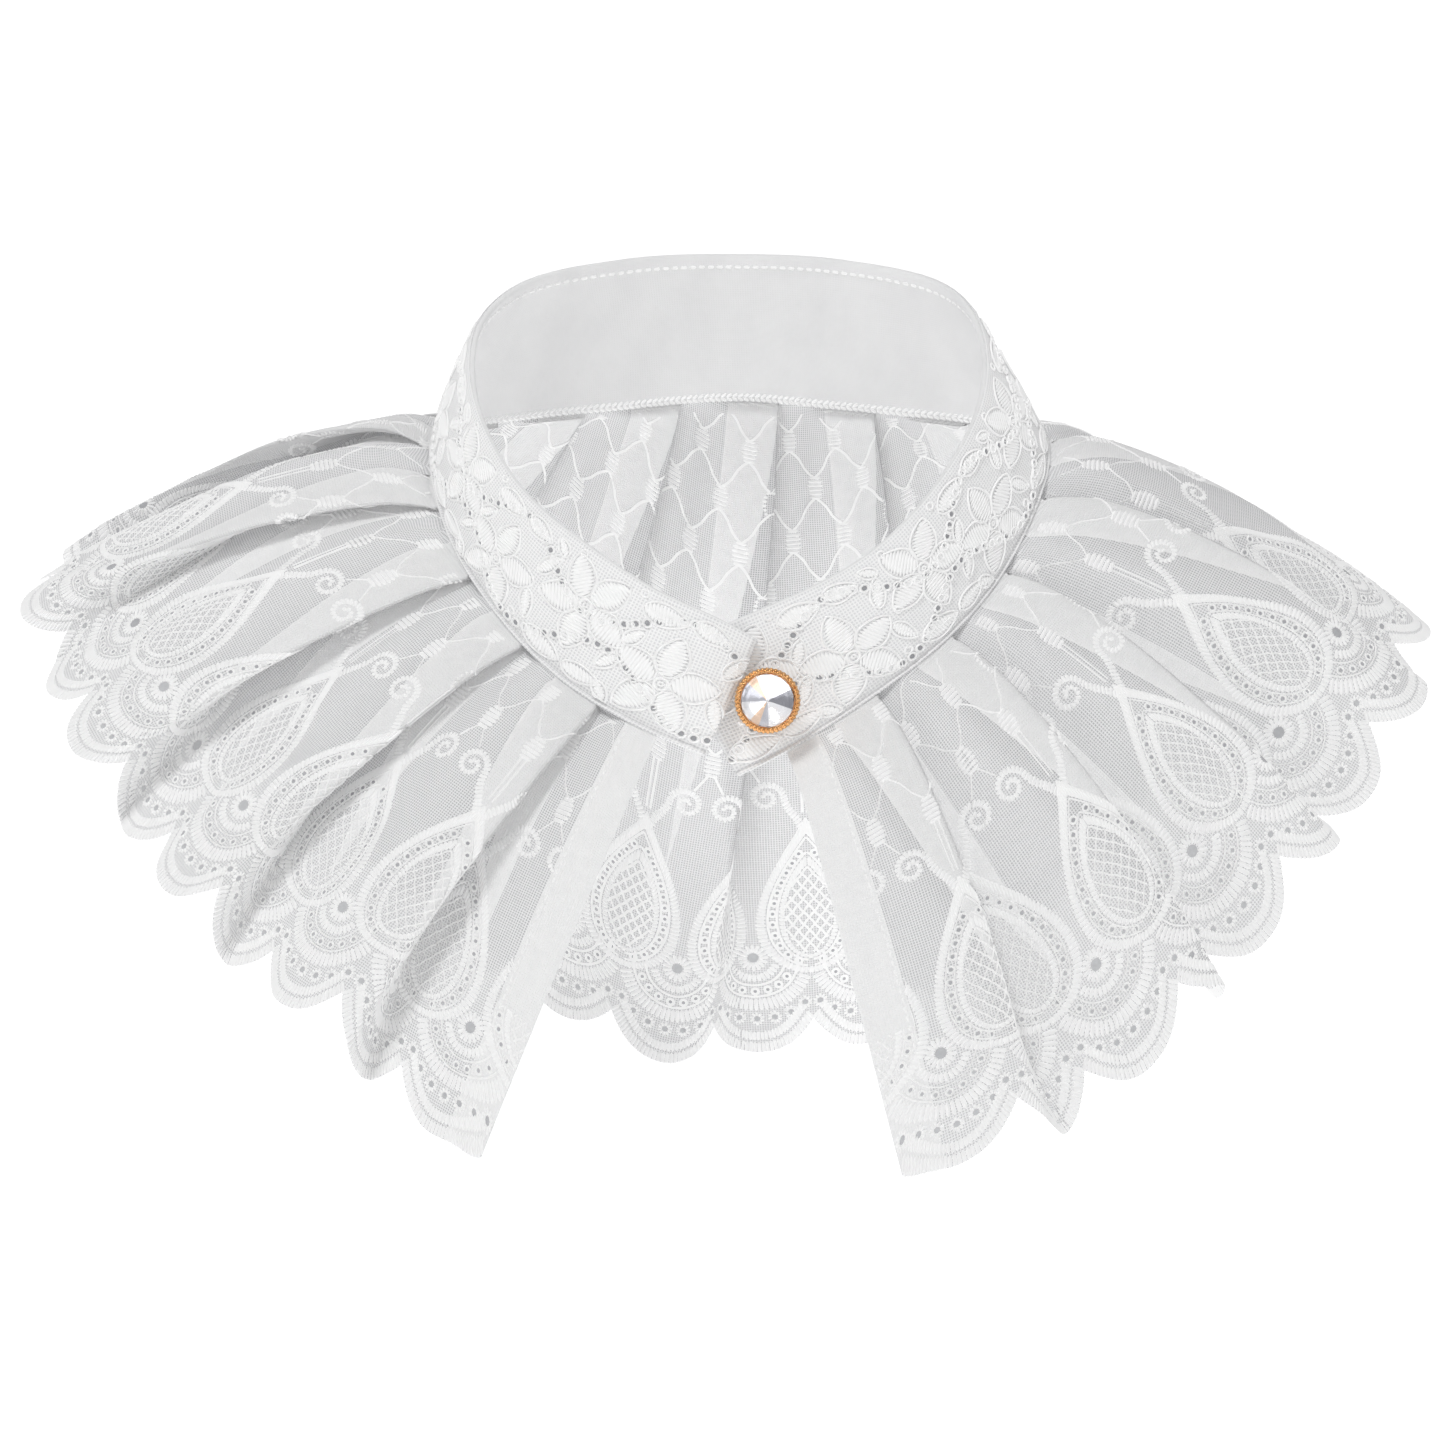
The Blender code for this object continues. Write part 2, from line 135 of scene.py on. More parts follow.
bpy.context.scene.collection.objects.link(floor)
print("floor at", FLOOR_Z)

# %% World and lamps
world = bpy.data.worlds.new("white_room")
world.use_nodes = True
background = world.node_tree.nodes["Background"]
background.inputs["Color"].default_value = linear("#FFFFFF")
background.inputs["Strength"].default_value = 0.44
bpy.context.scene.world = world
bpy.context.scene.view_settings.view_transform = "Standard"

LAMPS = (  # name, place, size, watts
    ("key", (-0.5, -0.5, 1.35), 0.4, 9.0),
    ("fill", (1.0, -1.0, 0.9), 0.9, 3.2),
    ("top", (0.2, 0.7, 1.4), 0.8, 1.8),
)
LAMP_TARGET = Vector((0.0, 0.0, -0.05))
for lamp_name, lamp_place, lamp_size, lamp_watts in LAMPS:
    lamp_data = bpy.data.lights.new(lamp_name, "AREA")
    lamp_data.size = lamp_size
    lamp_data.energy = lamp_watts
    lamp = bpy.data.objects.new(lamp_name, lamp_data)
    lamp.location = lamp_place
    aim = LAMP_TARGET - lamp.location
    lamp.rotation_mode = "QUATERNION"
    lamp.rotation_quaternion = aim.to_track_quat("-Z", "Y")
    bpy.context.scene.collection.objects.link(lamp)
print("lamps:", [row[0] for row in LAMPS])

# %% [markdown]
# ## The collar's form
# A collar like this could be sculpted, or draped with a cloth simulation. Both lose the exact
# places of the pleats, which is what makes the collar look like itself. So its form is a table:
# each row is a cut through the collar at one angle round the neck, with the radius and height of
# the band's top, of the seam and of the hem. Smooth curves run through the rows. The CAD model
# was made from the same table, so a point computed here lies on the CAD solid.

# %% Section table
SECTION_COLUMNS = ("angle", "top_r", "top_z", "seam_r", "seam_z", "hem_r", "hem_z", "rise")
SECTIONS = (
    (-15, 59.0, -34.5, 71.5, -67.5, 156, -134, 4),
    (0, 60.2, -27.5, 71.0, -60.0, 153, -129, 4),
    (30, 57.0, -15.5, 68.0, -42.0, 146, -117, 4),
    (60, 56.4, 1.5, 67.0, -25.5, 144, -83, 5),
    (90, 57.4, 18.0, 71.6, -4.2, 158, -54, 9),
    (105, 57.8, 26.0, 72.4, -1.0, 160, -60, 12),
    (120, 58.2, 30.0, 69.5, -3.0, 150, -92, 18),
    (150, 53.6, 33.0, 59.0, -3.4, 98, -162, 13),
    (180, 52.0, 33.5, 56.0, -2.0, 82, -175, 9),
    (210, 54.5, 33.0, 59.5, -3.4, 98, -162, 13),
    (240, 60.4, 29.5, 69.0, -3.0, 152, -88, 20),
    (255, 61.4, 24.5, 71.0, -1.0, 164, -41, 15),
    (270, 60.5, 16.5, 69.4, -5.0, 161, -44, 10),
    (300, 57.8, -1.5, 68.6, -23.0, 143, -85, 5),
    (330, 58.6, -14.6, 70.2, -42.5, 146, -112, 4),
    (342, 59.3, -20.2, 70.4, -48.6, 149, -130, 3),
    (360, 60.4, -28.0, 70.6, -56.5, 156, -130, 4),
    (375, 62.6, -38.0, 71.4, -63.5, 158, -133, 4),
)

# The band's layers, its slanted ends and the lap where the left end crosses over the right one.
LACE_THICK = 1.2
FACING_THICK = 1.0
PIECE_GAP = 0.3
BAND_CROWN = 0.9
RIGHT_END_TOP, RIGHT_END_BOTTOM = -13.0, 0.4
LEFT_END_TOP, LEFT_END_BOTTOM = 364.6, 354.6
LAP_START = 40.0
LAP_HALF_STEP = 1.9
print(len(SECTIONS), "sections")


# %% Reading the table
def smooth_read(xs, ys, x):
    """A smooth curve through the points xs, ys, read at x: cubic pieces with the chord slopes."""
    x = np.clip(np.asarray(x, float), xs[0], xs[-1])
    slopes = np.gradient(ys, xs)
    i = np.clip(np.searchsorted(xs, x, side="right") - 1, 0, len(xs) - 2)
    step = xs[i + 1] - xs[i]
    t = (x - xs[i]) / step
    rise, fall = t * t * (3 - 2 * t), (t - 1) * t
    tangents = slopes[i] * (t - 1) + slopes[i + 1] * t
    return ys[i] * (1 - rise) + ys[i + 1] * rise + step * fall * tangents


SECTION_TABLE = dict(zip(SECTION_COLUMNS, np.array(SECTIONS, float).T))


def section(name, angle):
    """One column of the section table, read at any angle."""
    return smooth_read(SECTION_TABLE["angle"], SECTION_TABLE[name], angle)


def smoothstep(t):
    t = np.clip(t, 0.0, 1.0)
    return t * t * (3 - 2 * t)


def ring_point(angle, radius, height):
    """Points of a ring, in mm, at angles counted from the front."""
    a = np.radians(angle)
    return np.stack([radius * np.sin(a), -radius * np.cos(a), height + 0 * a], axis=-1)


def band_skin(angle, down):
    """The band's outer face. down runs from 0 at the top edge to 1 at the seam."""
    radius = (1 - down) * section("top_r", angle) + down * section("seam_r", angle)
    height = (1 - down) * section("top_z", angle) + down * section("seam_z", angle)
    lap = smoothstep((angle - 360 + LAP_START) / LAP_START)
    lap = lap - smoothstep((LAP_START - angle) / LAP_START)
    crown = BAND_CROWN * 4 * down * (1 - down)
    return ring_point(angle, radius + crown + LAP_HALF_STEP * lap, height)


def band_point(angle, down, inward=0.0):
    """A point of the band, moved inward square to its outer face."""
    along = band_skin(angle + 0.5, down) - band_skin(angle - 0.5, down)
    fall = band_skin(angle, down + 0.02) - band_skin(angle, down - 0.02)
    out = np.cross(fall, along)
    out = out / np.linalg.norm(out, axis=-1, keepdims=True)
    return band_skin(angle, down) - out * np.asarray(inward, float)[..., None]


print("band top, outer radius at the back:", round(float(section("top_r", 180.0)), 1), "mm")

# %% [markdown]
# ## The cape's pleats
# The cape is one straight strip of border embroidery, about a metre long. At the top it is laid
# in seventeen knife pleats, all turned the same way, and pressed. Below the seam the pleats open
# into soft folds. The tables say how far each pleat stands out and which way it drifts. Between
# the creases the cloth is read as a straight line near the seam and as a smooth curve lower
# down, because a pressed fold is sharp only where it is sewn in.

# %% Cape values
CAPE_START, CAPE_END = 9.5, 346.3
HEM_START, HEM_END = 13.4, 338.8
LAYER_STEP = 1.8
PLEAT_COUNT = 17
PLEAT_UNDER = 12.2
FIRST_FOLD = 24.0
LAST_TAIL = 15.0
HEM_STRIP = 1007.0
SCALLOP_COUNT = 38
SCALLOP_DEPTH = 9.0
SCALLOP_POWER = 2.2
CAPE_DROP = 1.0
BAND_HALF_THICK = 0.5 * (LACE_THICK + PIECE_GAP + FACING_THICK)
# The layers step square to the band over this share of the depth, then square to the cape.
SEAM_BLEND = 0.14
# Below 1 the cape springs out near the band and falls straighter towards the hem.
BULGE_EARLY = 0.7
# Above 1 the pleats stay narrow near the seam and spread nearer the hem.
OPENING_POWER = 1.15
# How far a pleat already stands out at half depth, as a share of its opening at the hem.
HALF_DEPTH_LIFT = 0.06
PLEAT_OPENING = (10, 14, 9, 13, 15, 10, 8, 7, 8, 7, 9, 12, 14, 10, 15, 12, 14)
PLEAT_DRIFT = (0, 1.5, -1, 2, -1.5, 0, 1, -1, 0.5, -0.5, 1, -2, 1.5, -1, 2, -1.5, 0.5)
# The creases are pressed down to the first share of the depth and gone at the second.
SOFT_FROM, SOFT_TO = 0.12, 0.6
# Uneven shallow troughs, as soft cloth shows between its folds.
TROUGH_COUNT, TROUGH_DEPTH = 57, 0.45
print("pleats:", PLEAT_COUNT, "scallops:", SCALLOP_COUNT)


# %% Seam and hem
def running(steps):
    """How far a path has run at each of its points, from the steps between them."""
    return np.concatenate([[0.0], np.cumsum(steps)])


def path_run(points):
    return running(np.linalg.norm(np.diff(points, axis=0), axis=1))


def even_curve(angle, points):
    """A ring read by the share of its length: the points and angles at shares from 0 to 1."""
    run = path_run(points)
    share = run / run[-1]

    def read(q):
        return np.stack([np.interp(q, share, points[:, k]) for k in range(3)], axis=-1)

    def angle_at(q):
        return np.interp(q, share, angle)

    return read, angle_at, run[-1]


def seam_curve():
    """Where the cape meets the band: just under the middle of the band's thickness."""
    angle = np.linspace(CAPE_START, CAPE_END, 600)
    height = np.linalg.norm(band_skin(angle, 1.0) - band_skin(angle, 0.0), axis=-1)
    return even_curve(angle, band_point(angle, 1.0 + CAPE_DROP / height, BAND_HALF_THICK))


def hem_curve():
    angle = np.linspace(HEM_START, HEM_END, 600)
    return even_curve(angle, ring_point(angle, section("hem_r", angle), section("hem_z", angle)))


SEAM, SEAM_ANGLE, SEAM_LENGTH = seam_curve()
HEM, _, HEM_LENGTH = hem_curve()
print("seam", round(SEAM_LENGTH), "mm, hem ring", round(HEM_LENGTH), "mm, strip", HEM_STRIP, "mm")


# %% Pleat creases
def pleat_nodes():
    """Where the folds lie: along the strip (share of its length), round the seam, round the hem
    (shares of those rings), and how far out the cloth lies at the seam (layers) and at the hem
    (share of the pleat's opening)."""
    pitch = (SEAM_LENGTH - FIRST_FOLD - LAST_TAIL) / (PLEAT_COUNT - 1)
    turn = 0.5 * LAYER_STEP
    rows = [(0.0, 0.0, 0.0, 0.3)]
    for k in range(PLEAT_COUNT):
        fold = FIRST_FOLD + k * pitch
        at = FIRST_FOLD + k * (pitch + 2 * PLEAT_UNDER)
        if k:
            under = fold - pitch
            start = at - pitch - PLEAT_UNDER
            rows += [
                (start + 1.0, under - PLEAT_UNDER + turn, -2.0, 0.03),
                (start + (PLEAT_UNDER - 1.5), under - 1.5, -2.0, 0.3),
                (start + (PLEAT_UNDER + 2.5), under + 2.5, -1.4, 0.42),
                (start + (PLEAT_UNDER + 6.5), under + 6.5, -0.15, 0.6)]
        rows += [
            (at - 8.0, fold - 8.0, 0.0, 0.86),
            (at - 1.2, fold - turn, 0.0, 0.99),
            (at, fold, -0.5, 1.0),
            (at + 1.2, fold - turn, -1.0, 0.95),
            (at + 0.5 * PLEAT_UNDER, fold - 0.5 * PLEAT_UNDER, -1.0, 0.5),
            (at + (PLEAT_UNDER - 1.2), fold - PLEAT_UNDER + turn, -1.0, 0.05),
            (at + PLEAT_UNDER, fold - PLEAT_UNDER, -1.5, 0.0)]
    total = at + 2 * PLEAT_UNDER + LAST_TAIL
    tail = total - LAST_TAIL
    rows += [
        (tail - PLEAT_UNDER + 1.0, fold - PLEAT_UNDER + turn, -2.0, 0.03),
        (tail - 1.5, fold - 1.5, -2.0, 0.3),
        (tail + 2.5, fold + 2.5, -1.4, 0.42),
        (tail + 6.5, fold + 6.5, -0.3, 0.6),
        (total, SEAM_LENGTH, 0.0, 0.8)]
    strip, seam, lift_seam, lift_hem = np.array(rows).T
    return strip / total, seam / SEAM_LENGTH, lift_seam, lift_hem


STRIP, SEAM_SHARE, LAYER, OPENING_SHARE = pleat_nodes()


def opening_at(strip, table):
    """A value kept for each pleat, read anywhere along the strip."""
    middles = (np.arange(PLEAT_COUNT) + 0.5) / PLEAT_COUNT
    return smooth_read(middles, np.array(table, float), strip)


def hem_places():
    """Shares of the hem ring for the pleat nodes: the strip keeps its length, so a steep stretch
    covers less of the ring than a flat one."""
    run = np.diff(STRIP) * HEM_STRIP
    height = np.diff(OPENING_SHARE * opening_at(STRIP, PLEAT_OPENING))
    advance = np.sqrt(np.maximum(run * run - height * height, (0.35 * run) ** 2))
    place = running(advance)
    return place / place[-1]


HEM_SHARE = hem_places()
print(len(STRIP), "places along the strip where the cloth folds or bends")


# %% A point of the pleated cloth
def cape_frame(q, w):
    """Base surface of the cape, with the outward direction that the layers step along."""
    seam, hem = SEAM(q), HEM(q)
    angle = SEAM_ANGLE(q)
    nudge = 1e-3
    along = HEM(np.minimum(q + nudge, 1.0)) - HEM(np.maximum(q - nudge, 0.0))
    along = along + SEAM(np.minimum(q + nudge, 1.0)) - SEAM(np.maximum(q - nudge, 0.0))
    out = np.cross(along, hem - seam)
    out = -out / np.linalg.norm(out, axis=-1, keepdims=True)
    rise = section("rise", angle)
    early = w ** BULGE_EARLY
    arch = (rise * 4 * early * (1 - early))[..., None]
    base = seam + (hem - seam) * w[..., None] + out * arch
    square = band_point(angle, 1.0) - band_point(angle, 1.0, 1.0)
    mix = smoothstep(w / SEAM_BLEND)[..., None]
    step = square * (1 - mix) + out * mix
    return base, step / np.linalg.norm(step, axis=-1, keepdims=True)


def softened(values, strip, soft):
    """A value kept at the creases: straight between them where soft is 0, smooth where it is 1."""
    return np.interp(strip, STRIP, values) * (1 - soft) + smooth_read(STRIP, values, strip) * soft


def cape_point(strip, w):
    """A point of the pleated cape: strip is the share along the cloth, w the share of its depth."""
    strip, w = np.broadcast_arrays(np.asarray(strip, float), np.asarray(w, float))
    soft = smoothstep((w - SOFT_FROM) / (SOFT_TO - SOFT_FROM))
    seam_q = np.interp(strip, STRIP, SEAM_SHARE)
    hem_q = softened(HEM_SHARE, strip, soft)
    open_share = w ** OPENING_POWER
    drift = opening_at(strip, PLEAT_DRIFT) / HEM_LENGTH * 4 * w * (1 - w) * np.sin(np.pi * strip)
    q = np.clip(seam_q + (hem_q - seam_q) * open_share + drift, 0.0, 1.0)
    base, out = cape_frame(q, w)
    layers = LAYER_STEP * (np.interp(strip, STRIP, LAYER) + 1.0)
    opened = opening_at(strip, PLEAT_OPENING) * (softened(OPENING_SHARE, strip, soft) - 0.5)
    fold = layers * (1 - open_share) + opened * (open_share + HALF_DEPTH_LIFT * 4 * w * (1 - w))
    wander = 0.35 * np.sin(7 * w + 9 * strip)
    trough = TROUGH_DEPTH * np.sin(2 * np.pi * (strip * TROUGH_COUNT + wander))
    return base + out * (fold + trough * soft)[..., None]


print("left front corner of the hem:", cape_point(1.0, 1.0).round(1))

# %% [markdown]
# ## From flat cloth to folded cloth
# Embroidery is drawn on flat cloth, so each piece of it is laid out flat here too: x runs along
# the strip from the right front edge, y runs up from the line through the scallops' valleys.
# To place a flat point, its height above the tips is turned into a share of the depth, measured
# along the folded cloth itself. Nothing is stretched: a stitch 2 mm long stays 2 mm long.

# %% Flat layout
PITCH = HEM_STRIP / SCALLOP_COUNT
HALF = 0.5 * PITCH
BORDER_TOP = 62.0
# The front edges are turned to the inside. The turn hides the border, all but its lowest part.
TURNED_EDGE, TURNED_FROM = 9.5, 24.0
# The cloth is measured at heights this far apart, up to the deepest place.
HEIGHT_STEP, HEIGHT_MOST = 1.5, 205
# How far up the cloth the half scallops at the front corners are drawn down.
CORNER_REACH = 34.0


def hem_y(x):
    """The scalloped edge: height over the valley line, at x from the middle of a scallop."""
    return SCALLOP_DEPTH * (np.abs(x / HALF) ** SCALLOP_POWER - 1)


def measured_cloth():
    """For places along the strip: the share of the depth at even heights above the tips, and
    the whole depth."""
    strip = np.linspace(0, 1, 40 * SCALLOP_COUNT + 1)
    w = np.linspace(1, 0, 61)
    points = cape_point(*np.meshgrid(strip, w, indexing="ij"))
    run = np.stack([path_run(column) for column in points])
    heights = np.arange(0, HEIGHT_MOST, HEIGHT_STEP)
    shares = np.stack([np.interp(heights, column_run, w) for column_run in run])
    return strip, heights, shares, run[:, -1]


MEASURED_STRIP, MEASURED_HEIGHT, MEASURED_SHARE, MEASURED_DEPTH = measured_cloth()


def corner_drop(x, y):
    """Both front corners are cut at full depth, so the half scallop there is drawn down to it."""
    near = np.clip(np.minimum(x, HEM_STRIP - np.asarray(x, float)) / HALF, 0, 1)
    drop = SCALLOP_DEPTH * (1 - near) ** SCALLOP_POWER * (1 - smoothstep(near))
    return drop * np.clip(1 - (np.asarray(y) + SCALLOP_DEPTH) / CORNER_REACH, 0, 1)


def depth_share(x, y):
    """The share of the cape's depth at a flat point."""
    y = y - corner_drop(x, y)
    i = np.clip(np.asarray(x) / HEM_STRIP, 0, 1) * (len(MEASURED_STRIP) - 1)
    j = np.clip((np.asarray(y) + SCALLOP_DEPTH) / HEIGHT_STEP, 0, len(MEASURED_HEIGHT) - 1)
    i0 = np.minimum(i.astype(int), len(MEASURED_STRIP) - 2)
    j0 = np.minimum(j.astype(int), len(MEASURED_HEIGHT) - 2)
    u, v = i - i0, j - j0
    low = MEASURED_SHARE[i0, j0] * (1 - u) + MEASURED_SHARE[i0 + 1, j0] * u
    high = MEASURED_SHARE[i0, j0 + 1] * (1 - u) + MEASURED_SHARE[i0 + 1, j0 + 1] * u
    return low * (1 - v) + high * v


def cape_place(flat):
    """Flat points (x, y, height off the cloth) as points of the folded cape."""
    x, y, z = flat[:, 0], flat[:, 1], flat[:, 2]

    def at(dx, dy):
        return cape_point(np.clip((x + dx) / HEM_STRIP, 0, 1), depth_share(x + dx, y + dy))

    here = at(0, 0)
    face = np.cross(at(0.5, 0) - at(-0.5, 0), at(0, 0.5) - at(0, -0.5))
    face = face / np.maximum(np.linalg.norm(face, axis=-1, keepdims=True), 1e-9)
    return here + face * z[:, None]


print("depth of the cloth: front", MEASURED_DEPTH[5].round(), "sides", MEASURED_DEPTH.min().round(),
      "back", MEASURED_DEPTH.max().round())


# %% Making meshes
def mesh_object(name, points, faces, mat, flat=None, fall=None):
    """A smooth mesh object from points in mm and triangles. flat is kept as its UV map, in mm.
    fall is how far down the cape a point lies, from 0 to 1, kept as a second UV map."""
    mesh = bpy.data.meshes.new(name)
    mesh.vertices.add(len(points))
    mesh.vertices.foreach_set("co", (np.asarray(points, float) * MM).ravel())
    mesh.loops.add(faces.size)
    mesh.loops.foreach_set("vertex_index", faces.ravel().astype(np.int32))
    mesh.polygons.add(len(faces))
    loop_starts = np.arange(0, faces.size, faces.shape[1], dtype=np.int32)
    mesh.polygons.foreach_set("loop_start", loop_starts)
    mesh.polygons.foreach_set("use_smooth", np.ones(len(faces), bool))
    if flat is not None:
        layer = mesh.uv_layers.new(name="flat_mm")
        layer.data.foreach_set("uv", flat[faces.ravel(), :2].ravel())
    if fall is not None:
        layer = mesh.uv_layers.new(name="fall")
        layer.data.foreach_set("uv", np.stack([fall, fall], -1)[faces.ravel()].ravel())
    mesh.update()
    mesh.validate()
    mesh.materials.append(mat)
    obj = bpy.data.objects.new(name, mesh)
    bpy.context.scene.collection.objects.link(obj)
    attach(obj, "root")
    return obj


def numbered(first, rows, columns):
    """The point numbers of a grid."""
    return first + np.arange(rows * columns).reshape(rows, columns)


def grid_faces(corner):
    """Quads between the points of a grid, as pairs of triangles."""
    a, b, c, d = corner[:-1, :-1], corner[:-1, 1:], corner[1:, 1:], corner[1:, :-1]
    return np.concatenate([np.stack(three, -1).reshape(-1, 3) for three in ((a, d, c), (a, c, b))])


def flat_shaded(obj):
    """Sharp faces, so that each one catches the light on its own."""
    faces = obj.data.polygons
    faces.foreach_set("use_smooth", np.zeros(len(faces), bool))


def joined(parts):
    """Several (points, faces) pairs as one."""
    starts = np.cumsum([0] + [len(points) for points, _ in parts[:-1]])
    return (np.concatenate([points for points, _ in parts]),
            np.concatenate([faces + start for (_, faces), start in zip(parts, starts)]))


print("mesh helpers ready")

# %% [markdown]
# ## Eyelets and the voile
# Each scallop repeats the same holes: a large eyelet on its middle, a row that follows the
# edge, a small arc above that, and a ring round each lattice oval. They could be painted on the
# voile. Here each is cut out along its own edge, so that it stays crisp from near. A thin grey
# sheet fills it, for its loose cut threads, and its grey is painted shade for the shade seen
# through the hole, so it looks grey and not open. One scallop is triangulated flat round its
# eyelets, then repeated along the strip.

# %% The oval above each valley
# Level 0 is the edge of its lattice, 1 is the outside of its satin frame. Each pair holds the
# value at level 0 and at level 1.
OVAL_LOW, OVAL_HIGH = (17.0, 12.0), (40.0, 53.0)
OVAL_HALF, OVAL_TAPER = (5.5, 12.4), (0.5, 1.35)


def at_level(pair, level):
    return pair[0] + (pair[1] - pair[0]) * level


def oval_point(turn, level):
    """A point of the oval's outlines, turn from 0 at the bottom to 1 at the top and back at 2."""
    low, high = at_level(OVAL_LOW, level), at_level(OVAL_HIGH, level)
    half, taper = at_level(OVAL_HALF, level), at_level(OVAL_TAPER, level)

    def width(phi):
        return np.sin(phi) * np.abs(np.cos(0.5 * phi)) ** taper

    phi = np.pi * np.asarray(turn, float)
    left = phi > np.pi
    side = np.where(left, -1.0, 1.0)
    reach = width(np.where(left, 2 * np.pi - phi, phi))
    widest = width(np.linspace(0, np.pi, 90)).max()
    height = low + (high - low) * 0.5 * (1 - np.cos(phi))
    return np.stack([side * half * reach / widest, height], axis=-1)


def inside_oval(x, y, level):
    """True inside the oval of a valley at plus or minus half a pitch from the scallop's middle."""
    low, high = at_level(OVAL_LOW, level), at_level(OVAL_HIGH, level)
    share = np.clip((np.asarray(y) - low) / (high - low), 0, 1)
    turn = np.arccos(1 - 2 * share) / np.pi
    reach = oval_point(turn, level)[..., 0]
    return (HALF - np.abs(x) < reach) & (share > 0) & (share < 1)


print("oval is", 2 * OVAL_HALF[1], "mm wide and", OVAL_HIGH[1] - OVAL_LOW[1], "mm high")


# %% Where the eyelets are, in one repeat
def even_path(points, spacing, closed=False):
    """Even steps along a path: the points and the directions there."""
    points = np.asarray(points, float)
    run = path_run(points)
    count = max(2, int(round(run[-1] / spacing)))
    at = np.linspace(0, run[-1], count + 1)
    at = at[:-1] if closed else at

    def read(places):
        places = np.clip(places, 0, run[-1])
        return np.stack([np.interp(places, run, points[:, k]) for k in range(2)], axis=-1)

    way = read(at + 0.2) - read(at - 0.2)
    return read(at), way / np.maximum(np.linalg.norm(way, axis=-1, keepdims=True), 1e-9)


BIG_EYELET = np.array([0.0, 16.0])
BIG_RADIUS, EDGE_EYELET_RADIUS, SMALL_RADIUS = 1.25, 0.68, 0.42
# How far the two rows of eyelets lie from the big one.
EDGE_ROW, SMALL_ROW = 16.2, 8.9
hem_x = np.linspace(-HALF, HALF, 161)
HEM_LINE = np.stack([hem_x, hem_y(hem_x)], axis=-1)


def inward_of_hem(distance, spacing):
    """Points a distance inside the scalloped edge, towards the big eyelet, and that direction."""
    here, _ = even_path(HEM_LINE, spacing)
    to_middle = BIG_EYELET - here
    to_middle = to_middle / np.linalg.norm(to_middle, axis=-1, keepdims=True)
    return here + to_middle * distance, to_middle


def eyelets():
    """The holes of one repeat: x, y, radius."""
    rows = [(*BIG_EYELET, BIG_RADIUS)]
    for away, spread, radius in ((EDGE_ROW, 45, EDGE_EYELET_RADIUS), (SMALL_ROW, 58, SMALL_RADIUS)):
        for angle in np.radians(np.linspace(-spread, spread, 7)):
            rows.append((away * math.sin(angle), BIG_EYELET[1] - away * math.cos(angle), radius))
    ring, _ = even_path(oval_point(np.linspace(0, 2, 200), 0.42), 2.9, closed=True)
    for x, y in ring:
        if abs(x) > 1e-6:
            rows.append((x - math.copysign(HALF, x), y, SMALL_RADIUS))
    return np.array(rows)


EYELETS = eyelets()
print(len(EYELETS), "eyelets in a repeat,", len(EYELETS) * SCALLOP_COUNT, "in all")


# %% One repeat of the voile, flat
def circle(x, y, radius, count):
    turn = 2 * np.pi * np.arange(count) / count
    return np.stack([x + radius * np.cos(turn), y + radius * np.sin(turn)], axis=-1)


REPEAT_COLUMNS, ROW_STEP, HEM_STEPS = 16, 1.9, 32
ROWS_BELOW_VALLEY = (-7.2, -5.4, -3.6, -1.8)
# Loose points of the mesh keep this far from the hem and from an eyelet's edge.
CLEAR_OF_HEM, CLEAR_OF_EYELET = 0.7, 0.5


def flat_repeat():
    """One scallop's voile up to BORDER_TOP: points, triangles of the cloth and of the eyelets."""
    columns = np.linspace(-HALF, HALF, REPEAT_COLUMNS + 1)
    rows = np.linspace(0, BORDER_TOP, int(BORDER_TOP / ROW_STEP) + 1)
    hem_steps = np.linspace(-HALF, HALF, HEM_STEPS + 1)
    hem = np.stack([hem_steps, hem_y(hem_steps)], axis=-1)
    points, edges = [tuple(p) for p in hem], [(i, i + 1) for i in range(len(hem) - 1)]
    for x, y, radius in EYELETS:
        count = 12 if radius > 1 else 8
        first = len(points)
        points += [tuple(p) for p in circle(x, y, radius, count)]
        edges += [(first + i, first + (i + 1) % count) for i in range(count)]
    for y in np.concatenate([ROWS_BELOW_VALLEY, rows]):
        for x in columns:
            apart = np.hypot(EYELETS[:, 0] - x, EYELETS[:, 1] - y) - EYELETS[:, 2]
            free = apart.min() > CLEAR_OF_EYELET or abs(abs(x) - HALF) < 1e-6
            if free and y > hem_y(x) + CLEAR_OF_HEM:
                points.append((x, y))
    found = delaunay_2d_cdt([Vector(p) for p in points], edges, [], 0, 1e-6)
    flat = np.array([tuple(p) for p in found[0]])
    faces = np.array([tuple(face) for face in found[2]])
    middle = flat[faces].mean(axis=1)
    away = np.hypot(middle[:, :1] - EYELETS[:, 0], middle[:, 1:] - EYELETS[:, 1])
    in_eyelet = (away < EYELETS[:, 2] * 0.96).any(axis=1)
    on_cloth = middle[:, 1] >= hem_y(middle[:, 0]) - 0.02
    return flat, faces[~in_eyelet & on_cloth], faces[in_eyelet & on_cloth], columns


REPEAT_FLAT, REPEAT_FACES, EYELET_FACES, REPEAT_X = flat_repeat()
print("one repeat:", len(REPEAT_FLAT), "points", len(REPEAT_FACES), "triangles")


# %% The whole strip of voile
UPPER_ROWS = 30
# Points that agree to this part of a millimetre are one point.
WELD = 500
# The seam allowance: shares of the band's height, and how far up the flat cloth they lie.
ALLOWANCE = ((0.985, 1.4), (0.95, 2.5))


def under_turned_edge(flat):
    """True for flat points that the turned front edges cover."""
    from_edge = np.minimum(flat[:, 0], HEM_STRIP - flat[:, 0])
    return (from_edge < TURNED_EDGE) & (flat[:, 1] > TURNED_FROM)


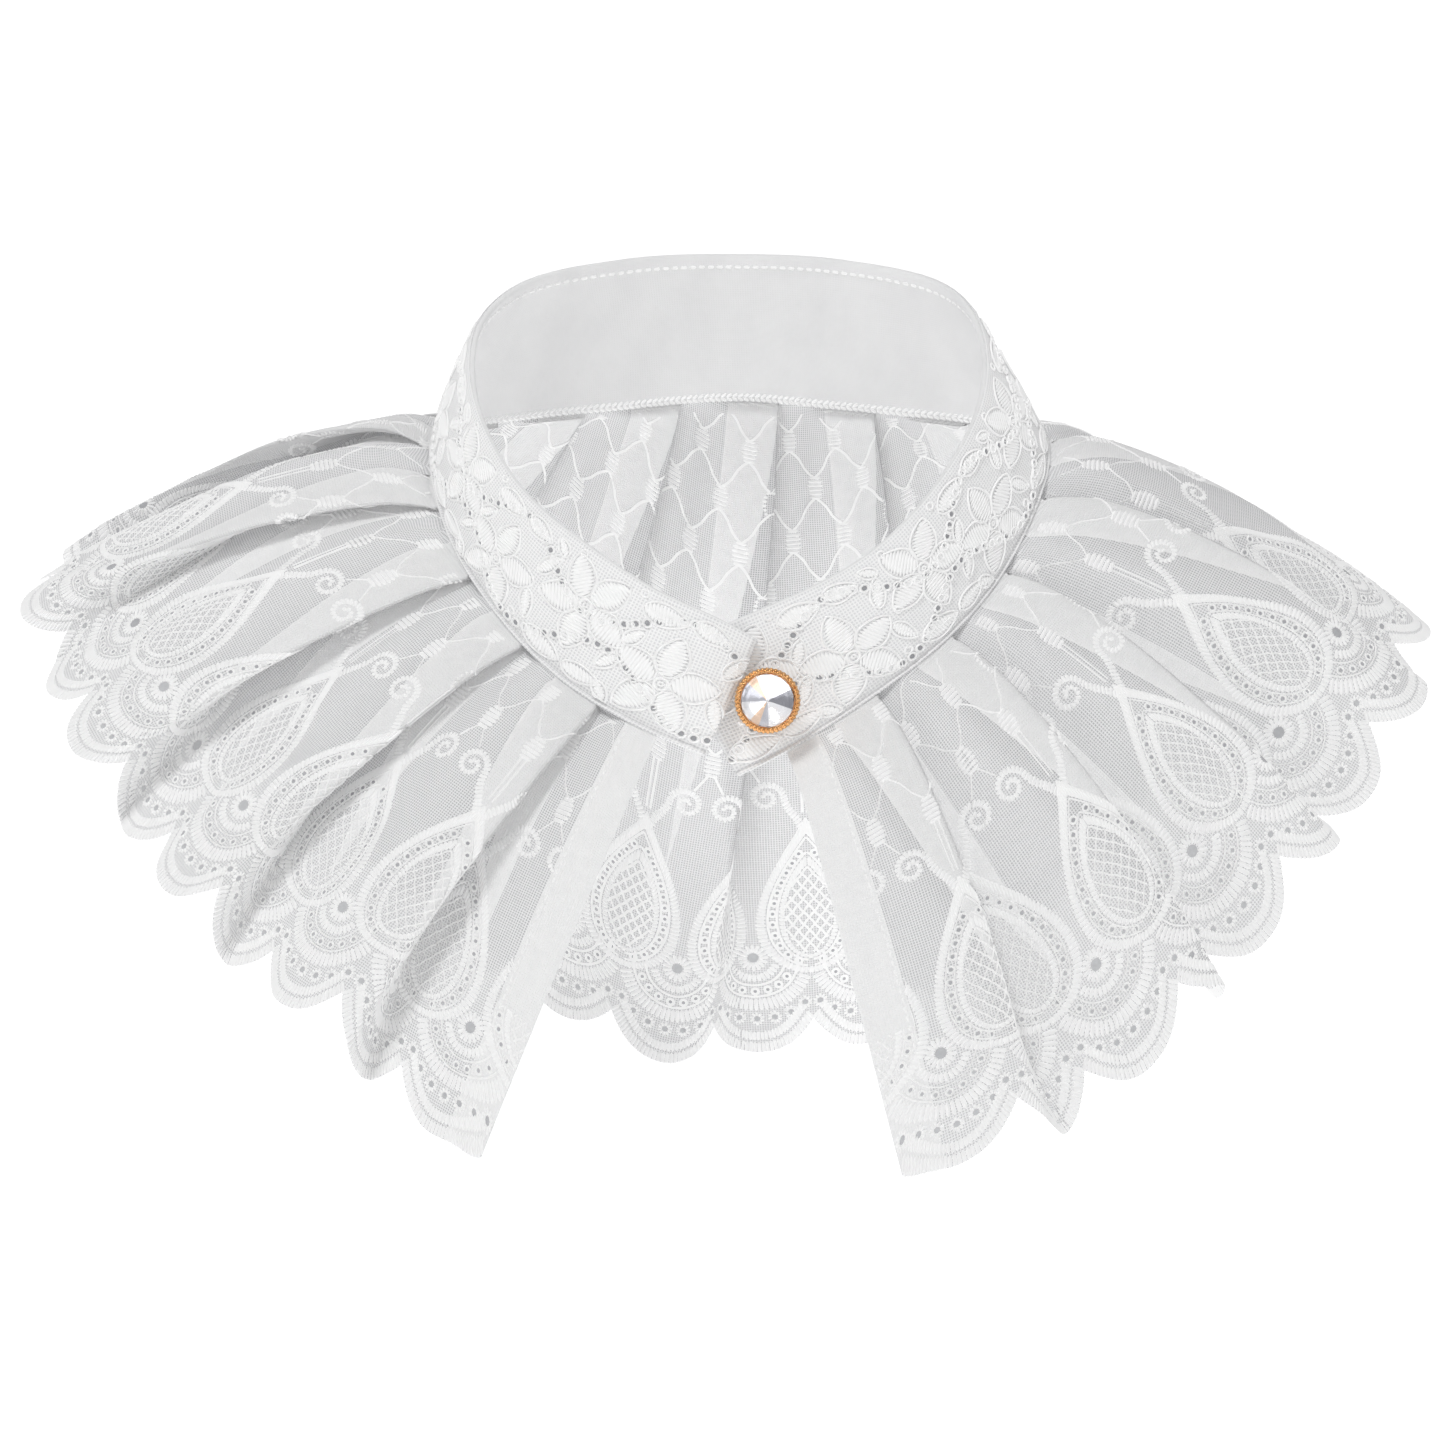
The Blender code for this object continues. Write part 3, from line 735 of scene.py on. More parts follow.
def repeated(part, count=SCALLOP_COUNT, pitch=PITCH, first=0.5 * PITCH):
    """A flat part set count times along its strip."""
    points, faces = part
    shift = np.zeros(points.shape[1])
    copies = []
    for k in range(count):
        shift[0] = first + k * pitch
        copies.append(points + shift)
    return (np.concatenate(copies),
            np.concatenate([faces + k * len(points) for k in range(count)]))


def voile_strip():
    """The strip: the repeated border, and the plain rows above it that run into the pleats."""
    flat, faces = repeated((REPEAT_FLAT, REPEAT_FACES))
    _, eyelet_faces = repeated((REPEAT_FLAT, EYELET_FACES))
    covered = under_turned_edge(flat[eyelet_faces].mean(axis=1))
    faces = np.concatenate([faces, eyelet_faces[covered]])
    keys, first, index = np.unique(
        np.round(flat * WELD).astype(np.int64), axis=0, return_index=True, return_inverse=True)
    flat, faces = flat[first], index.reshape(-1)[faces]
    place = {tuple(key): i for i, key in enumerate(keys)}
    xs = np.concatenate([REPEAT_X + (k + 0.5) * PITCH for k in range(SCALLOP_COUNT)])
    xs = np.unique(np.round(xs * WELD)) / WELD
    top = int(round(BORDER_TOP * WELD))
    bottom = np.array([place[(int(round(x * WELD)), top)] for x in xs])
    # Each crease takes the column that lies nearest to it, so that it stays sharp at the seam.
    target = xs.copy()
    taken = set()
    for crease in STRIP[1:-1] * HEM_STRIP:
        for i in np.argsort(np.abs(xs - crease)):
            if i not in taken:
                taken.add(int(i))
                target[i] = crease
                break
    target = np.sort(target)
    low_share = depth_share(xs, np.full_like(xs, BORDER_TOP))
    depth = np.interp(xs / HEM_STRIP, MEASURED_STRIP, MEASURED_DEPTH)
    t = np.linspace(0, 1, UPPER_ROWS + 1)[1:, None]
    upper_x = xs + (target - xs) * smoothstep(t * 1.6)
    upper_w = low_share * (1 - t)
    upper_y = BORDER_TOP + (depth - SCALLOP_DEPTH - BORDER_TOP) * t
    border_w = depth_share(flat[:, 0], flat[:, 1])
    upper_points = cape_point(
        np.clip(upper_x / HEM_STRIP, 0, 1), np.broadcast_to(upper_w, upper_x.shape))
    border_points = cape_point(np.clip(flat[:, 0] / HEM_STRIP, 0, 1), border_w)
    points = [border_points, upper_points.reshape(-1, 3)]
    flats = [flat, np.stack([upper_x, upper_y], -1).reshape(-1, 2)]
    falls = [border_w, upper_w.reshape(-1)]
    # The seam allowance: the pleats run up between the band's two layers, which hide it.
    seam_angle = SEAM_ANGLE(np.interp(target / HEM_STRIP, STRIP, SEAM_SHARE))
    for down, rise in ALLOWANCE:
        points.append(band_point(seam_angle, 0 * seam_angle + down, BAND_HALF_THICK))
        flats.append(np.stack([target, upper_y[-1] + rise], -1))
        falls.append(0 * seam_angle)
    above = numbered(len(flat), UPPER_ROWS + len(ALLOWANCE), len(xs))
    upper_faces = grid_faces(np.concatenate([bottom[None, :], above]))[:, ::-1]
    return (np.concatenate(points), np.concatenate([faces, upper_faces]),
            np.concatenate(flats), np.concatenate(falls))


# %% Voile
# Cotton voile: a plain weave of fine hard-twisted threads with open gaps. It is matt and lets
# light through. One layer looks grey, because the shade under the cape shows through its gaps:
# that shade is painted into the base colour of a single layer, greyest between the threads.
# Where a pleat lies doubled the layers fill each other's gaps, so it looks nearly solid white and
# gets no painted shade. That difference draws every pleat, so the material knows the pleats: it
# reads the flat place along the strip and how far down the cape a point lies. Real threads are
# about 0.25 mm apart, too fine for the render, so they are drawn 0.6 mm apart.
THREAD_SPACING = 0.6
FLAT_PER_SEAM = HEM_STRIP / (SEAM_LENGTH + PLEAT_COUNT * 2 * PLEAT_UNDER)
PLEAT_PITCH = (SEAM_LENGTH - FIRST_FOLD - LAST_TAIL) / (PLEAT_COUNT - 1)
PLEAT_PERIOD = FLAT_PER_SEAM * (PLEAT_PITCH + 2 * PLEAT_UNDER)
UNDER_FLAT = FLAT_PER_SEAM * PLEAT_UNDER
# The doubled strips are full width near the seam and gone at this share of the depth.
DOUBLED_FROM, DOUBLED_TO = 0.02, 0.72
# A wave texture with this scale repeats every millimetre of the flat UV map.
WAVE_PER_MM = 0.31416
cotton_voile, voile_tree = new_material("cotton_voile")


def weave(tree, spacing):
    """A plain weave read from the flat UV map in mm: 1 on the threads, 0 in the gaps."""
    flat = add_node(tree, "ShaderNodeUVMap", {"uv_map": "flat_mm"})
    waves = [add_node(tree, "ShaderNodeTexWave", {
        "wave_type": "BANDS", "bands_direction": axis, "wave_profile": "SIN",
        "Scale": WAVE_PER_MM / spacing, "Distortion": 0.35, "Detail": 1.0, "Detail Scale": 0.4},
        {"Vector": flat.outputs[0]}) for axis in "XY"]
    both = add_node(tree, "ShaderNodeMath", {"operation": "MAXIMUM"}, {
        0: waves[0].outputs["Fac"], 1: waves[1].outputs["Fac"]})
    return both.outputs[0], flat.outputs[0]


# Which places of the cloth lie doubled, as sums on along, the place along the strip in mm, and
# cover, how far two layers reach on either side of a fold. Each row: result, sum, its terms.
DOUBLED_SUMS = (
    ("shifted", "ADD", "along", PLEAT_PERIOD + UNDER_FLAT - FIRST_FOLD * FLAT_PER_SEAM),
    ("place", "MODULO", "shifted", PLEAT_PERIOD),
    ("past_fold", "SUBTRACT", "place", UNDER_FLAT),
    ("from_fold", "ABSOLUTE", "past_fold"),
    ("upper", "LESS_THAN", "from_fold", "cover"),
    ("lower_from", "SUBTRACT", 3 * UNDER_FLAT, "cover"),
    ("past_lower", "GREATER_THAN", "place", "lower_from"),
    ("before_end", "LESS_THAN", "place", 3 * UNDER_FLAT),
    ("lower", "MULTIPLY", "past_lower", "before_end"),
    ("right_edge", "LESS_THAN", "along", TURNED_EDGE),
    ("left_edge", "GREATER_THAN", "along", HEM_STRIP - TURNED_EDGE),
    ("pleats", "MAXIMUM", "upper", "lower"),
    ("edges", "MAXIMUM", "right_edge", "left_edge"),
    ("doubled", "MAXIMUM", "pleats", "edges"),
)


def doubled_cloth(tree, flat):
    """1 where pleats lie on each other or the front edge is turned, 0 on a single layer."""
    fall_map = add_node(tree, "ShaderNodeUVMap", {"uv_map": "fall"})
    fall = add_node(tree, "ShaderNodeSeparateXYZ", None, {0: fall_map.outputs[0]})
    cover = add_node(tree, "ShaderNodeMapRange", {
        "From Min": DOUBLED_FROM, "From Max": DOUBLED_TO,
        "To Min": UNDER_FLAT, "To Max": 0.0}, {"Value": fall.outputs[0]})
    along = add_node(tree, "ShaderNodeSeparateXYZ", None, {0: flat})
    known = {"along": along.outputs[0], "cover": cover.outputs[0]}
    for result, operation, *terms in DOUBLED_SUMS:
        sockets = {i: known[term] for i, term in enumerate(terms) if term in known}
        numbers = {i: term for i, term in enumerate(terms) if i not in sockets}
        node = add_node(tree, "ShaderNodeMath", {"operation": operation, **numbers}, sockets)
        known[result] = node.outputs[0]
    return known["doubled"]


voile_weave, voile_flat = weave(voile_tree, THREAD_SPACING)
voile_doubled = doubled_cloth(voile_tree, voile_flat)
slub = add_node(voile_tree, "ShaderNodeTexNoise", {"Scale": 0.35, "Detail": 3.0}, {
    "Vector": voile_flat})
# Painted shade: a single layer is grey, darkest in the gaps between the threads. Doubled cloth is
# near-white, with a tone that differs at random.
painted_gap_shade_mix = add_node(voile_tree, "ShaderNodeMapRange", {
    "From Min": 0.3, "From Max": 0.95, "To Min": 0.0, "To Max": 1.0}, {"Value": voile_weave})
single = add_node(voile_tree, "ShaderNodeMix", {
    "data_type": "RGBA", 6: linear("#C3C3C5"), 7: linear("#EAEAEB")}, {0: painted_gap_shade_mix.outputs[0]})
double = add_node(voile_tree, "ShaderNodeMix", {
    "data_type": "RGBA", 6: linear("#EDEDEE"), 7: linear("#F7F7F7")}, {0: slub.outputs["Fac"]})
shade = add_node(voile_tree, "ShaderNodeMix", {"data_type": "RGBA"}, {
    0: voile_doubled, 6: single.outputs[2], 7: double.outputs[2]})
single_cover = add_node(voile_tree, "ShaderNodeMapRange", {
    "From Min": 0.35, "From Max": 0.85, "To Min": 0.8, "To Max": 0.98}, {"Value": voile_weave})
cover = add_node(voile_tree, "ShaderNodeMath", {"operation": "MAXIMUM"}, {
    0: single_cover.outputs[0], 1: voile_doubled})
raised = add_node(voile_tree, "ShaderNodeBump", {"Strength": 0.7, "Distance": 0.0002}, {
    "Height": voile_weave})
cloth = add_node(voile_tree, "ShaderNodeBsdfPrincipled", {"Roughness": 0.88, "Sheen Weight": 0.1}, {
    "Base Color": shade.outputs[2], "Alpha": cover.outputs[0], "Normal": raised.outputs[0]})
glow = add_node(voile_tree, "ShaderNodeBsdfTranslucent", None, {
    "Color": shade.outputs[2], "Normal": raised.outputs[0]})
voile_mix = add_node(voile_tree, "ShaderNodeMixShader", {0: 0.1}, {
    1: cloth.outputs[0], 2: glow.outputs[0]})
add_node(voile_tree, "ShaderNodeOutputMaterial", None, {"Surface": voile_mix.outputs[0]})
print("threads every", THREAD_SPACING, "mm, a pleat every", round(PLEAT_PERIOD, 1), "mm of cloth")

# %% Lay the voile
voile_points, voile_faces, voile_uv, voile_fall = voile_strip()
cape = mesh_object("cape_voile", voile_points, voile_faces, cotton_voile, voile_uv, voile_fall)
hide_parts("cape")

# %% [markdown]
# ## The stand band
# The band is two layers: lace outside and a plain facing inside. The facing rolls over the top
# edge and is topstitched just below it. Both could be cut from a cylinder; a flat layout that is
# wrapped on the band's own face is better, because the ends are cut on the slant and the lace
# has to follow them. u runs along the band and v down it, from 0 to the band's height.

# %% Flat layout of the band
BAND_HEIGHT = 33.0


def band_angle(share, down):
    """The angle round the neck at a share of the band's length: the ends are slanted."""
    first = RIGHT_END_TOP + (RIGHT_END_BOTTOM - RIGHT_END_TOP) * down
    last = LEFT_END_TOP + (LEFT_END_BOTTOM - LEFT_END_TOP) * down
    return first + (last - first) * share


along_band = np.linspace(0, 1, 400)
band_middle = band_point(band_angle(along_band, 0.5), 0.5 + 0 * along_band)
BAND_LENGTH = float(np.linalg.norm(np.diff(band_middle, axis=0), axis=1).sum())


def band_place(flat):
    """Flat points (u, v, height off the outer face) as points of the band."""
    down = flat[:, 1] / BAND_HEIGHT
    return band_point(band_angle(flat[:, 0] / BAND_LENGTH, down), down, -flat[:, 2])


print("band length", round(BAND_LENGTH, 1), "mm")


# %% Cotton for the facing
# Plain-woven cotton lawn: closer than the voile, and matt. Its threads show only as a fine grain.
cotton_lawn, lawn_tree = new_material("cotton_lawn")
lawn_weave, lawn_flat = weave(lawn_tree, 0.5)
lawn_bump = add_node(lawn_tree, "ShaderNodeBump", {"Strength": 0.35, "Distance": 0.0002}, {
    "Height": lawn_weave})
lawn_noise = add_node(lawn_tree, "ShaderNodeTexNoise", {"Scale": 0.08, "Detail": 4.0}, {
    "Vector": lawn_flat})
# Its base colour is greyer than the other white cotton: painted shade, for the shade inside the
# band. The noise varies its tone at random.
lawn_shade = add_node(lawn_tree, "ShaderNodeMix", {
    "data_type": "RGBA", 6: linear("#E0E0E1"), 7: linear("#EFEFEF")}, {
    0: lawn_noise.outputs["Fac"]})
lawn = add_node(lawn_tree, "ShaderNodeBsdfPrincipled", {"Roughness": 0.85, "Sheen Weight": 0.15}, {
    "Base Color": lawn_shade.outputs[2], "Normal": lawn_bump.outputs[0]})
add_node(lawn_tree, "ShaderNodeOutputMaterial", None, {"Surface": lawn.outputs[0]})

# %% A profile carried along the band
BAND_COLUMNS = 300
EVEN_COLUMNS = np.linspace(0, 1, BAND_COLUMNS + 1)[None, :]


def along_the_band(profile, share, turned_in=0.0):
    """A profile (share of the height, mm inward) at each share of the length: the points, where
    they lie on the flat cloth, the triangles, and the flat width. The first and last columns go
    inward by turned_in, where the cloth is turned in over a cut end."""
    down, depth = np.hsplit(np.array(profile), 2)
    run = running(np.hypot(np.diff(down[:, 0]) * BAND_HEIGHT, np.diff(depth[:, 0])))
    depth = depth + 0 * share
    u = share * BAND_LENGTH + 0 * down
    if turned_in:
        depth[:, 0] = depth[:, -1] = turned_in
        u[:, 0] -= turned_in
        u[:, -1] += turned_in
    angle = band_angle(share, np.clip(down, 0, 1))
    points = band_point(angle, down + 0 * share, depth).reshape(-1, 3)
    flat = np.stack([u, run[:, None] + 0 * share], -1).reshape(-1, 2)
    return points, flat, grid_faces(numbered(0, *u.shape)), run[-1]


print("columns along the band:", EVEN_COLUMNS.size)

# %% The facing, rolled over the top edge
FACING_PROFILE = (
    (1.0, 1.5), (1.0, 2.5), (0.97, 2.55), (0.9, 2.5), (0.75, 2.45), (0.5, 2.4), (0.25, 2.45),
    (0.08, 2.5), (0.02, 2.5), (-0.008, 2.25), (-0.016, 1.8), (-0.012, 1.3), (0.004, 1.0),
    (0.03, 0.95))
facing_points, facing_flat, facing_faces, FACING_WIDTH = along_the_band(
    FACING_PROFILE, EVEN_COLUMNS)
facing = mesh_object("band_facing_cloth", facing_points, facing_faces, cotton_lawn, facing_flat)
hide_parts("band_facing")
print("facing:", round(FACING_WIDTH, 1), "mm wide when flat")

# %% [markdown]
# ## Lace ground
# Guipure-like lace is heavy thread work with no net behind it. Its motifs and small rings are
# all raised thread. It could be one bump map, but from the side that reads as paper. Here the
# ground is a thin sheet just above the facing, and every petal, leaf and ring lies on it.

# %% Lace thread
# Mercerised cotton embroidery thread: a little smoother than the cloth, with a soft gloss along
# the stitches, bright white.
embroidery_cotton, thread_tree = new_material("embroidery_cotton")
thread_place = add_node(thread_tree, "ShaderNodeTexCoord")
fibres = add_node(thread_tree, "ShaderNodeTexNoise", {"Scale": 2600.0, "Detail": 2.0}, {
    "Vector": thread_place.outputs["Object"]})
fibre_bump = add_node(thread_tree, "ShaderNodeBump", {"Strength": 0.25, "Distance": 0.0001}, {
    "Height": fibres.outputs["Fac"]})
tone = add_node(thread_tree, "ShaderNodeMix", {
    "data_type": "RGBA", 6: linear("#FCFCFC"), 7: linear("#FFFFFF")}, {0: fibres.outputs["Fac"]})
# A little light goes on from fibre to fibre inside the thread, so it never looks as dark as a
# solid would: the faint emission is painted light that stands for it.
thread = add_node(thread_tree, "ShaderNodeBsdfPrincipled", {
    "Roughness": 0.62, "Sheen Weight": 0.2,
    "Emission Color": linear("#FFFFFF"), "Emission Strength": 0.05}, {
    "Base Color": tone.outputs[2], "Normal": fibre_bump.outputs[0]})
thread_glow = add_node(thread_tree, "ShaderNodeBsdfTranslucent", {"Color": linear("#FFFFFF")})
thread_mix = add_node(thread_tree, "ShaderNodeMixShader", {0: 0.2}, {
    1: thread.outputs[0], 2: thread_glow.outputs[0]})
add_node(thread_tree, "ShaderNodeOutputMaterial", None, {"Surface": thread_mix.outputs[0]})

# %% Ground of the lace
# The open mesh between the motifs, seen against the facing: greyer than the thread, with a
# fine grain of twisted cords 0.8 mm apart that only shows when near. Its grey, darkest between
# the cords, is painted shade, for the facing in shade seen through the mesh.
lace_net, net_tree = new_material("lace_net")
net_weave, _ = weave(net_tree, 0.8)
net_shade = add_node(net_tree, "ShaderNodeMix", {
    "data_type": "RGBA", 6: linear("#DCDCDE"), 7: linear("#F6F6F6")}, {0: net_weave})
net_bump = add_node(net_tree, "ShaderNodeBump", {"Strength": 0.45, "Distance": 0.0003}, {
    "Height": net_weave})
net_cloth = add_node(net_tree, "ShaderNodeBsdfPrincipled", {"Roughness": 0.85}, {
    "Base Color": net_shade.outputs[2], "Normal": net_bump.outputs[0]})
add_node(net_tree, "ShaderNodeOutputMaterial", None, {"Surface": net_cloth.outputs[0]})

# %% The ground sheet of the lace
LACE_PROFILE = (
    (0.02, 1.25), (-0.002, 1.0), (-0.002, 0.75), (0.02, 0.62), (0.2, 0.6), (0.4, 0.6), (0.6, 0.6),
    (0.8, 0.6), (0.95, 0.6), (0.962, 1.0), (0.97, 1.0), (0.976, 0.35), (0.986, 0.2), (0.998, 0.35),
    (1.0, 0.8), (0.99, 1.2))
END_DEPTH = 2.5
# At both ends the lace is turned in over the cut edge, so one more column goes inward there.
lace_points, lace_flat, lace_faces, LACE_WIDTH = along_the_band(
    LACE_PROFILE, np.concatenate([[[0.0]], EVEN_COLUMNS, [[1.0]]], axis=1), END_DEPTH)
lace_ground = mesh_object(
    "band_lace_ground", lace_points, lace_faces[:, ::-1], lace_net, lace_flat)
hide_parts("band_lace")
print("lace ground:", len(lace_faces), "triangles,", round(LACE_WIDTH, 1), "mm wide when flat")

# %% [markdown]
# ## Stitches
# Satin stitch is thread laid side by side over a shape. Each stitch catches the light along
# its length, and that is what makes embroidery shine in lines. It could be a stripe texture, but
# stitches of real shape still read at a fold's edge. So each stitch is a small plump bar that
# stands through the cloth, as the thread does on both sides, and single threads are thin cords.

# %% Bars and cords, flat
# A bar has two rings of four points (right, top, left, under) and a point at each end.
BAR_FACES = np.array(
    [(0, 1 + k, 1 + (k + 1) % 4) for k in range(4)]
    + [(1 + k, 5 + k, 5 + (k + 1) % 4) for k in range(4)]
    + [(1 + k, 5 + (k + 1) % 4, 1 + (k + 1) % 4) for k in range(4)]
    + [(5 + k, 9, 5 + (k + 1) % 4) for k in range(4)])
UNDERSIDE = -0.14
# A stitch is pulled tight and flattened: it keeps this share of its own thickness.
LOFT = 0.55
# The bobbin thread under the cloth is finer than the one on top.
UNDER_SHARE = 0.7


def across(way):
    """Flat directions turned by a quarter, to the left."""
    return np.stack([-way[:, 1], way[:, 0]], -1)


def stitch_table(near, far, width, height):
    """Rows for bars() that all have one width and one height."""
    return np.concatenate([near, far, np.full((len(near), 2), (width, height))], axis=1)


def bars(rows):
    """Satin stitches as bars. Each row: from x, y, to x, y, width, height."""
    rows = np.asarray(rows, float)
    start, way = rows[:, :2], rows[:, 2:4] - rows[:, :2]
    length = np.maximum(np.linalg.norm(way, axis=1, keepdims=True), 1e-6)
    side = across(way) / length * 0.5 * rows[:, 4:5]
    points = np.zeros((len(rows), 10, 3))
    points[:, 0, :2], points[:, 9, :2] = start, start + way
    for ring, t in ((1, 0.18), (5, 0.82)):
        for step, (beside, share) in enumerate(((-1, 0.0), (0, 1.0), (1, 0.0), (0, -UNDER_SHARE))):
            points[:, ring + step, :2] = start + way * t + side * beside
            points[:, ring + step, 2] = share * LOFT * rows[:, 5]
    faces = BAR_FACES[None] + 10 * np.arange(len(rows))[:, None, None]
    return points.reshape(-1, 3), faces.reshape(-1, 3)


def cord(path, width, height, closed=False):
    """A thread along a path of flat points, raised to height."""
    path = np.asarray(path, float)
    n = len(path)
    if closed:
        way = np.roll(path, -1, axis=0) - np.roll(path, 1, axis=0)
    else:
        way = np.gradient(path, axis=0)
    side = across(way) / np.linalg.norm(way, axis=1, keepdims=True) * 0.5 * width
    points = np.zeros((n, 3, 3))
    points[:, 0, :2], points[:, 1, :2], points[:, 2, :2] = path - side, path, path + side
    points[:, 0, 2] = points[:, 2, 2] = UNDERSIDE
    points[:, 1, 2] = LOFT * height
    steps = np.arange(n if closed else n - 1)
    ring, after = 3 * steps, 3 * ((steps + 1) % n)
    faces = []
    for i, j in ((0, 1), (1, 2), (2, 0)):
        faces.append(np.stack([ring + i, after + i, after + j], -1))
        faces.append(np.stack([ring + i, after + j, ring + j], -1))
    if not closed:
        last = 3 * (n - 1)
        faces.append(np.array([(0, 1, 2), (last, last + 2, last + 1)]))
    return points.reshape(-1, 3), np.concatenate(faces)


def from_below(angles):
    """Flat directions at angles counted from straight down."""
    angles = np.radians(angles)
    return np.stack([np.sin(angles), -np.cos(angles)], -1)


def around(middle, inner, outer, angles, width, height):
    """Bars that stand round a point."""
    way = from_below(angles)
    return stitch_table(middle + way * inner, middle + way * outer, width, height)


def arc(middle, radius, low, high, count):
    return middle + radius * from_below(np.linspace(low, high, count))


def outside_oval(rows, level=1.0):
    """Leaves out the bars whose middle lies in a lattice oval's frame."""
    middle = 0.5 * (rows[:, :2] + rows[:, 2:4])
    return rows[~inside_oval(middle[:, 0], middle[:, 1], level) & (np.abs(middle[:, 0]) < HALF)]


print("one bar has", len(BAR_FACES), "triangles")

# %% [markdown]
# ## The scallops
# From the edge inward a scallop has: two rows of close overcasting, a row of seven eyelets, a
# fan of long satin stitches, a small arc of pin-holes between two cords, and two rings of satin
# round the large eyelet. Angles are counted from straight down, round the large eyelet.

# %% Satin of one scallop
# Real overcasting has a stitch every 0.5 mm. It is drawn every 1.05 mm, so that each one shows.
OVERCASTING = (  # distance inside the hem, spacing, length, width, height
    (-0.3, 1.05, 3.1, 0.9, 0.5),
    (3.0, 1.1, 2.5, 0.88, 0.4))
FANS = (  # inner and outer distance from the large eyelet, angles, width, height
    (10.7, 14.2, np.arange(-78, 78.1, 5.2), 0.98, 0.5),
    (BIG_RADIUS + 0.02, 3.6, np.arange(0, 360, 22.5), 0.82, 0.5),
    (4.3, 6.5, np.arange(-132, 133, 11.0), 0.92, 0.42))
scallop_rows = []
for inside, spacing, length, width, height in OVERCASTING:
    here, inward = inward_of_hem(inside, spacing)
    scallop_rows.append(stitch_table(here, here + inward * length, width, height))
for x, y, radius in EYELETS[1:8]:
    scallop_rows.append(
        around(np.array([x, y]), radius + 0.02, radius + 1.1, np.arange(0, 360, 36), 0.6, 0.45))
scallop_rows += [outside_oval(around(BIG_EYELET, *fan)) for fan in FANS]
SCALLOP_PART = bars(np.concatenate(scallop_rows))
print("bars in one scallop:", len(SCALLOP_PART[0]) // 10)


# %% Satin of the lattice ovals
def oval_bars(inner, outer, spacing, width, height):
    """Bars across the oval's frame between two levels, on the right half of an oval at x = 0."""
    even = np.linspace(0, 1, 200)
    run = path_run(oval_point(even, outer))
    turns = np.interp(np.arange(0.2, run[-1] - 0.2, spacing), run, even)
    return stitch_table(oval_point(turns, inner), oval_point(turns, outer), width, height)


def both_halves(rows):
    """The right half of the oval left of the scallop, and its mirror image."""
    left, right = rows.copy(), rows.copy()
    left[:, [0, 2]] = rows[:, [0, 2]] - HALF
    right[:, [0, 2]] = HALF - rows[:, [0, 2]]
    return [left, right]


# From the oval's neck a satin band climbs, turns over the plain cloth beside it like a
# shepherd's crook, and rolls up.
SPIRAL_MIDDLE = np.array([8.6, 58.6])
spiral_turn = np.radians(np.linspace(180, -330, 60))
spiral_size = np.linspace(3.9, 0.8, 60)
spiral_way = np.stack([np.cos(spiral_turn), np.sin(spiral_turn)], -1)
spiral = SPIRAL_MIDDLE + spiral_size[:, None] * spiral_way
TAIL = np.concatenate([[(0.9, 50.0), (2.0, 52.6), (3.5, 55.0), (4.4, 57.0)], spiral])


def band_of_bars(path, spacing, broad, narrow, width, height):
    """Bars laid across a path: a satin band that goes from broad to narrow."""
    here, way = even_path(path, spacing)
    half = np.linspace(0.5 * broad, 0.5 * narrow, len(here))[:, None]
    reach = across(way) * half + way * 0.25
    return stitch_table(here - reach, here + reach, width, height)


oval_rows = []
for half_rows in (oval_bars(0.64, 1.0, 1.1, 0.94, 0.5), oval_bars(0.0, 0.22, 1.05, 0.88, 0.46),
                  band_of_bars(TAIL, 0.95, 2.3, 1.1, 0.84, 0.48)):
    oval_rows += both_halves(half_rows)
OVAL_PART = bars(np.concatenate(oval_rows))
print("bars in one oval with its two spirals:", len(OVAL_PART[0]) // 10)


# %% Rings, arcs and lattice
LATTICE_STEP, LATTICE_SLOPE = 3.3, 1.3


def lattice():
    """The crossing threads inside the oval, on its right half: both slants, so that the mirror
    image on the left half carries each thread on."""
    lines = []
    for low in np.arange(OVAL_LOW[0] - 7, OVAL_HIGH[0] + 7, LATTICE_STEP):
        for way in (-1, 1):
            x = np.linspace(0.0, OVAL_HALF[0], 10)
            lines.append(np.stack([x, low + way * LATTICE_SLOPE * x + 0.2 * np.sin(3 * x)], -1))
    kept = []
    for line in lines:
        inside = inside_oval(line[:, 0] - HALF, line[:, 1], 0.04)
        if inside.sum() > 2:
            kept.append(line[inside])
    return kept


ring_parts = [
    cord(circle(x, y, SMALL_RADIUS + 0.36, 8), 0.7, 0.42, closed=True) for x, y, _ in EYELETS[8:]]
ring_parts += [cord(arc(BIG_EYELET, radius, -96, 96, 22), 0.6, 0.42) for radius in (7.3, 10.3)]
half_lines = [(line, 0.58, 0.42) for line in lattice()]
outline_turns = np.linspace(0.02, 0.97, 44)
half_lines += [(oval_point(outline_turns, level), 0.55, 0.4) for level in (0.28, 0.58)]
for line, width, height in half_lines:
    for placed in (line - [HALF, 0], [HALF, 0] + line * [-1, 1]):
        ring_parts.append(cord(placed, width, height))
RING_PART = joined(ring_parts)
print("rings and lattice of one repeat:", len(RING_PART[1]), "triangles")


# %% Sew on
def off_turned_edge(part):
    """Leaves out the stitches that the turned front edges hide, all but those at the hem."""
    points, faces = part
    middle = points[faces].mean(axis=1)
    on_strip = np.minimum(middle[:, 0], HEM_STRIP - middle[:, 0]) > 0.3
    faces = faces[~under_turned_edge(middle) & on_strip]
    used, index = np.unique(faces, return_inverse=True)
    return points[used], index.reshape(faces.shape)


def stitched(name, part, place):
    """Flat stitches set on the folded cloth, as one object."""
    points, faces = part
    obj = mesh_object(name, place(points), faces, embroidery_cotton)
    flat_shaded(obj)
    print(name, len(faces), "triangles")
    return obj


print("stitches can be sewn on")
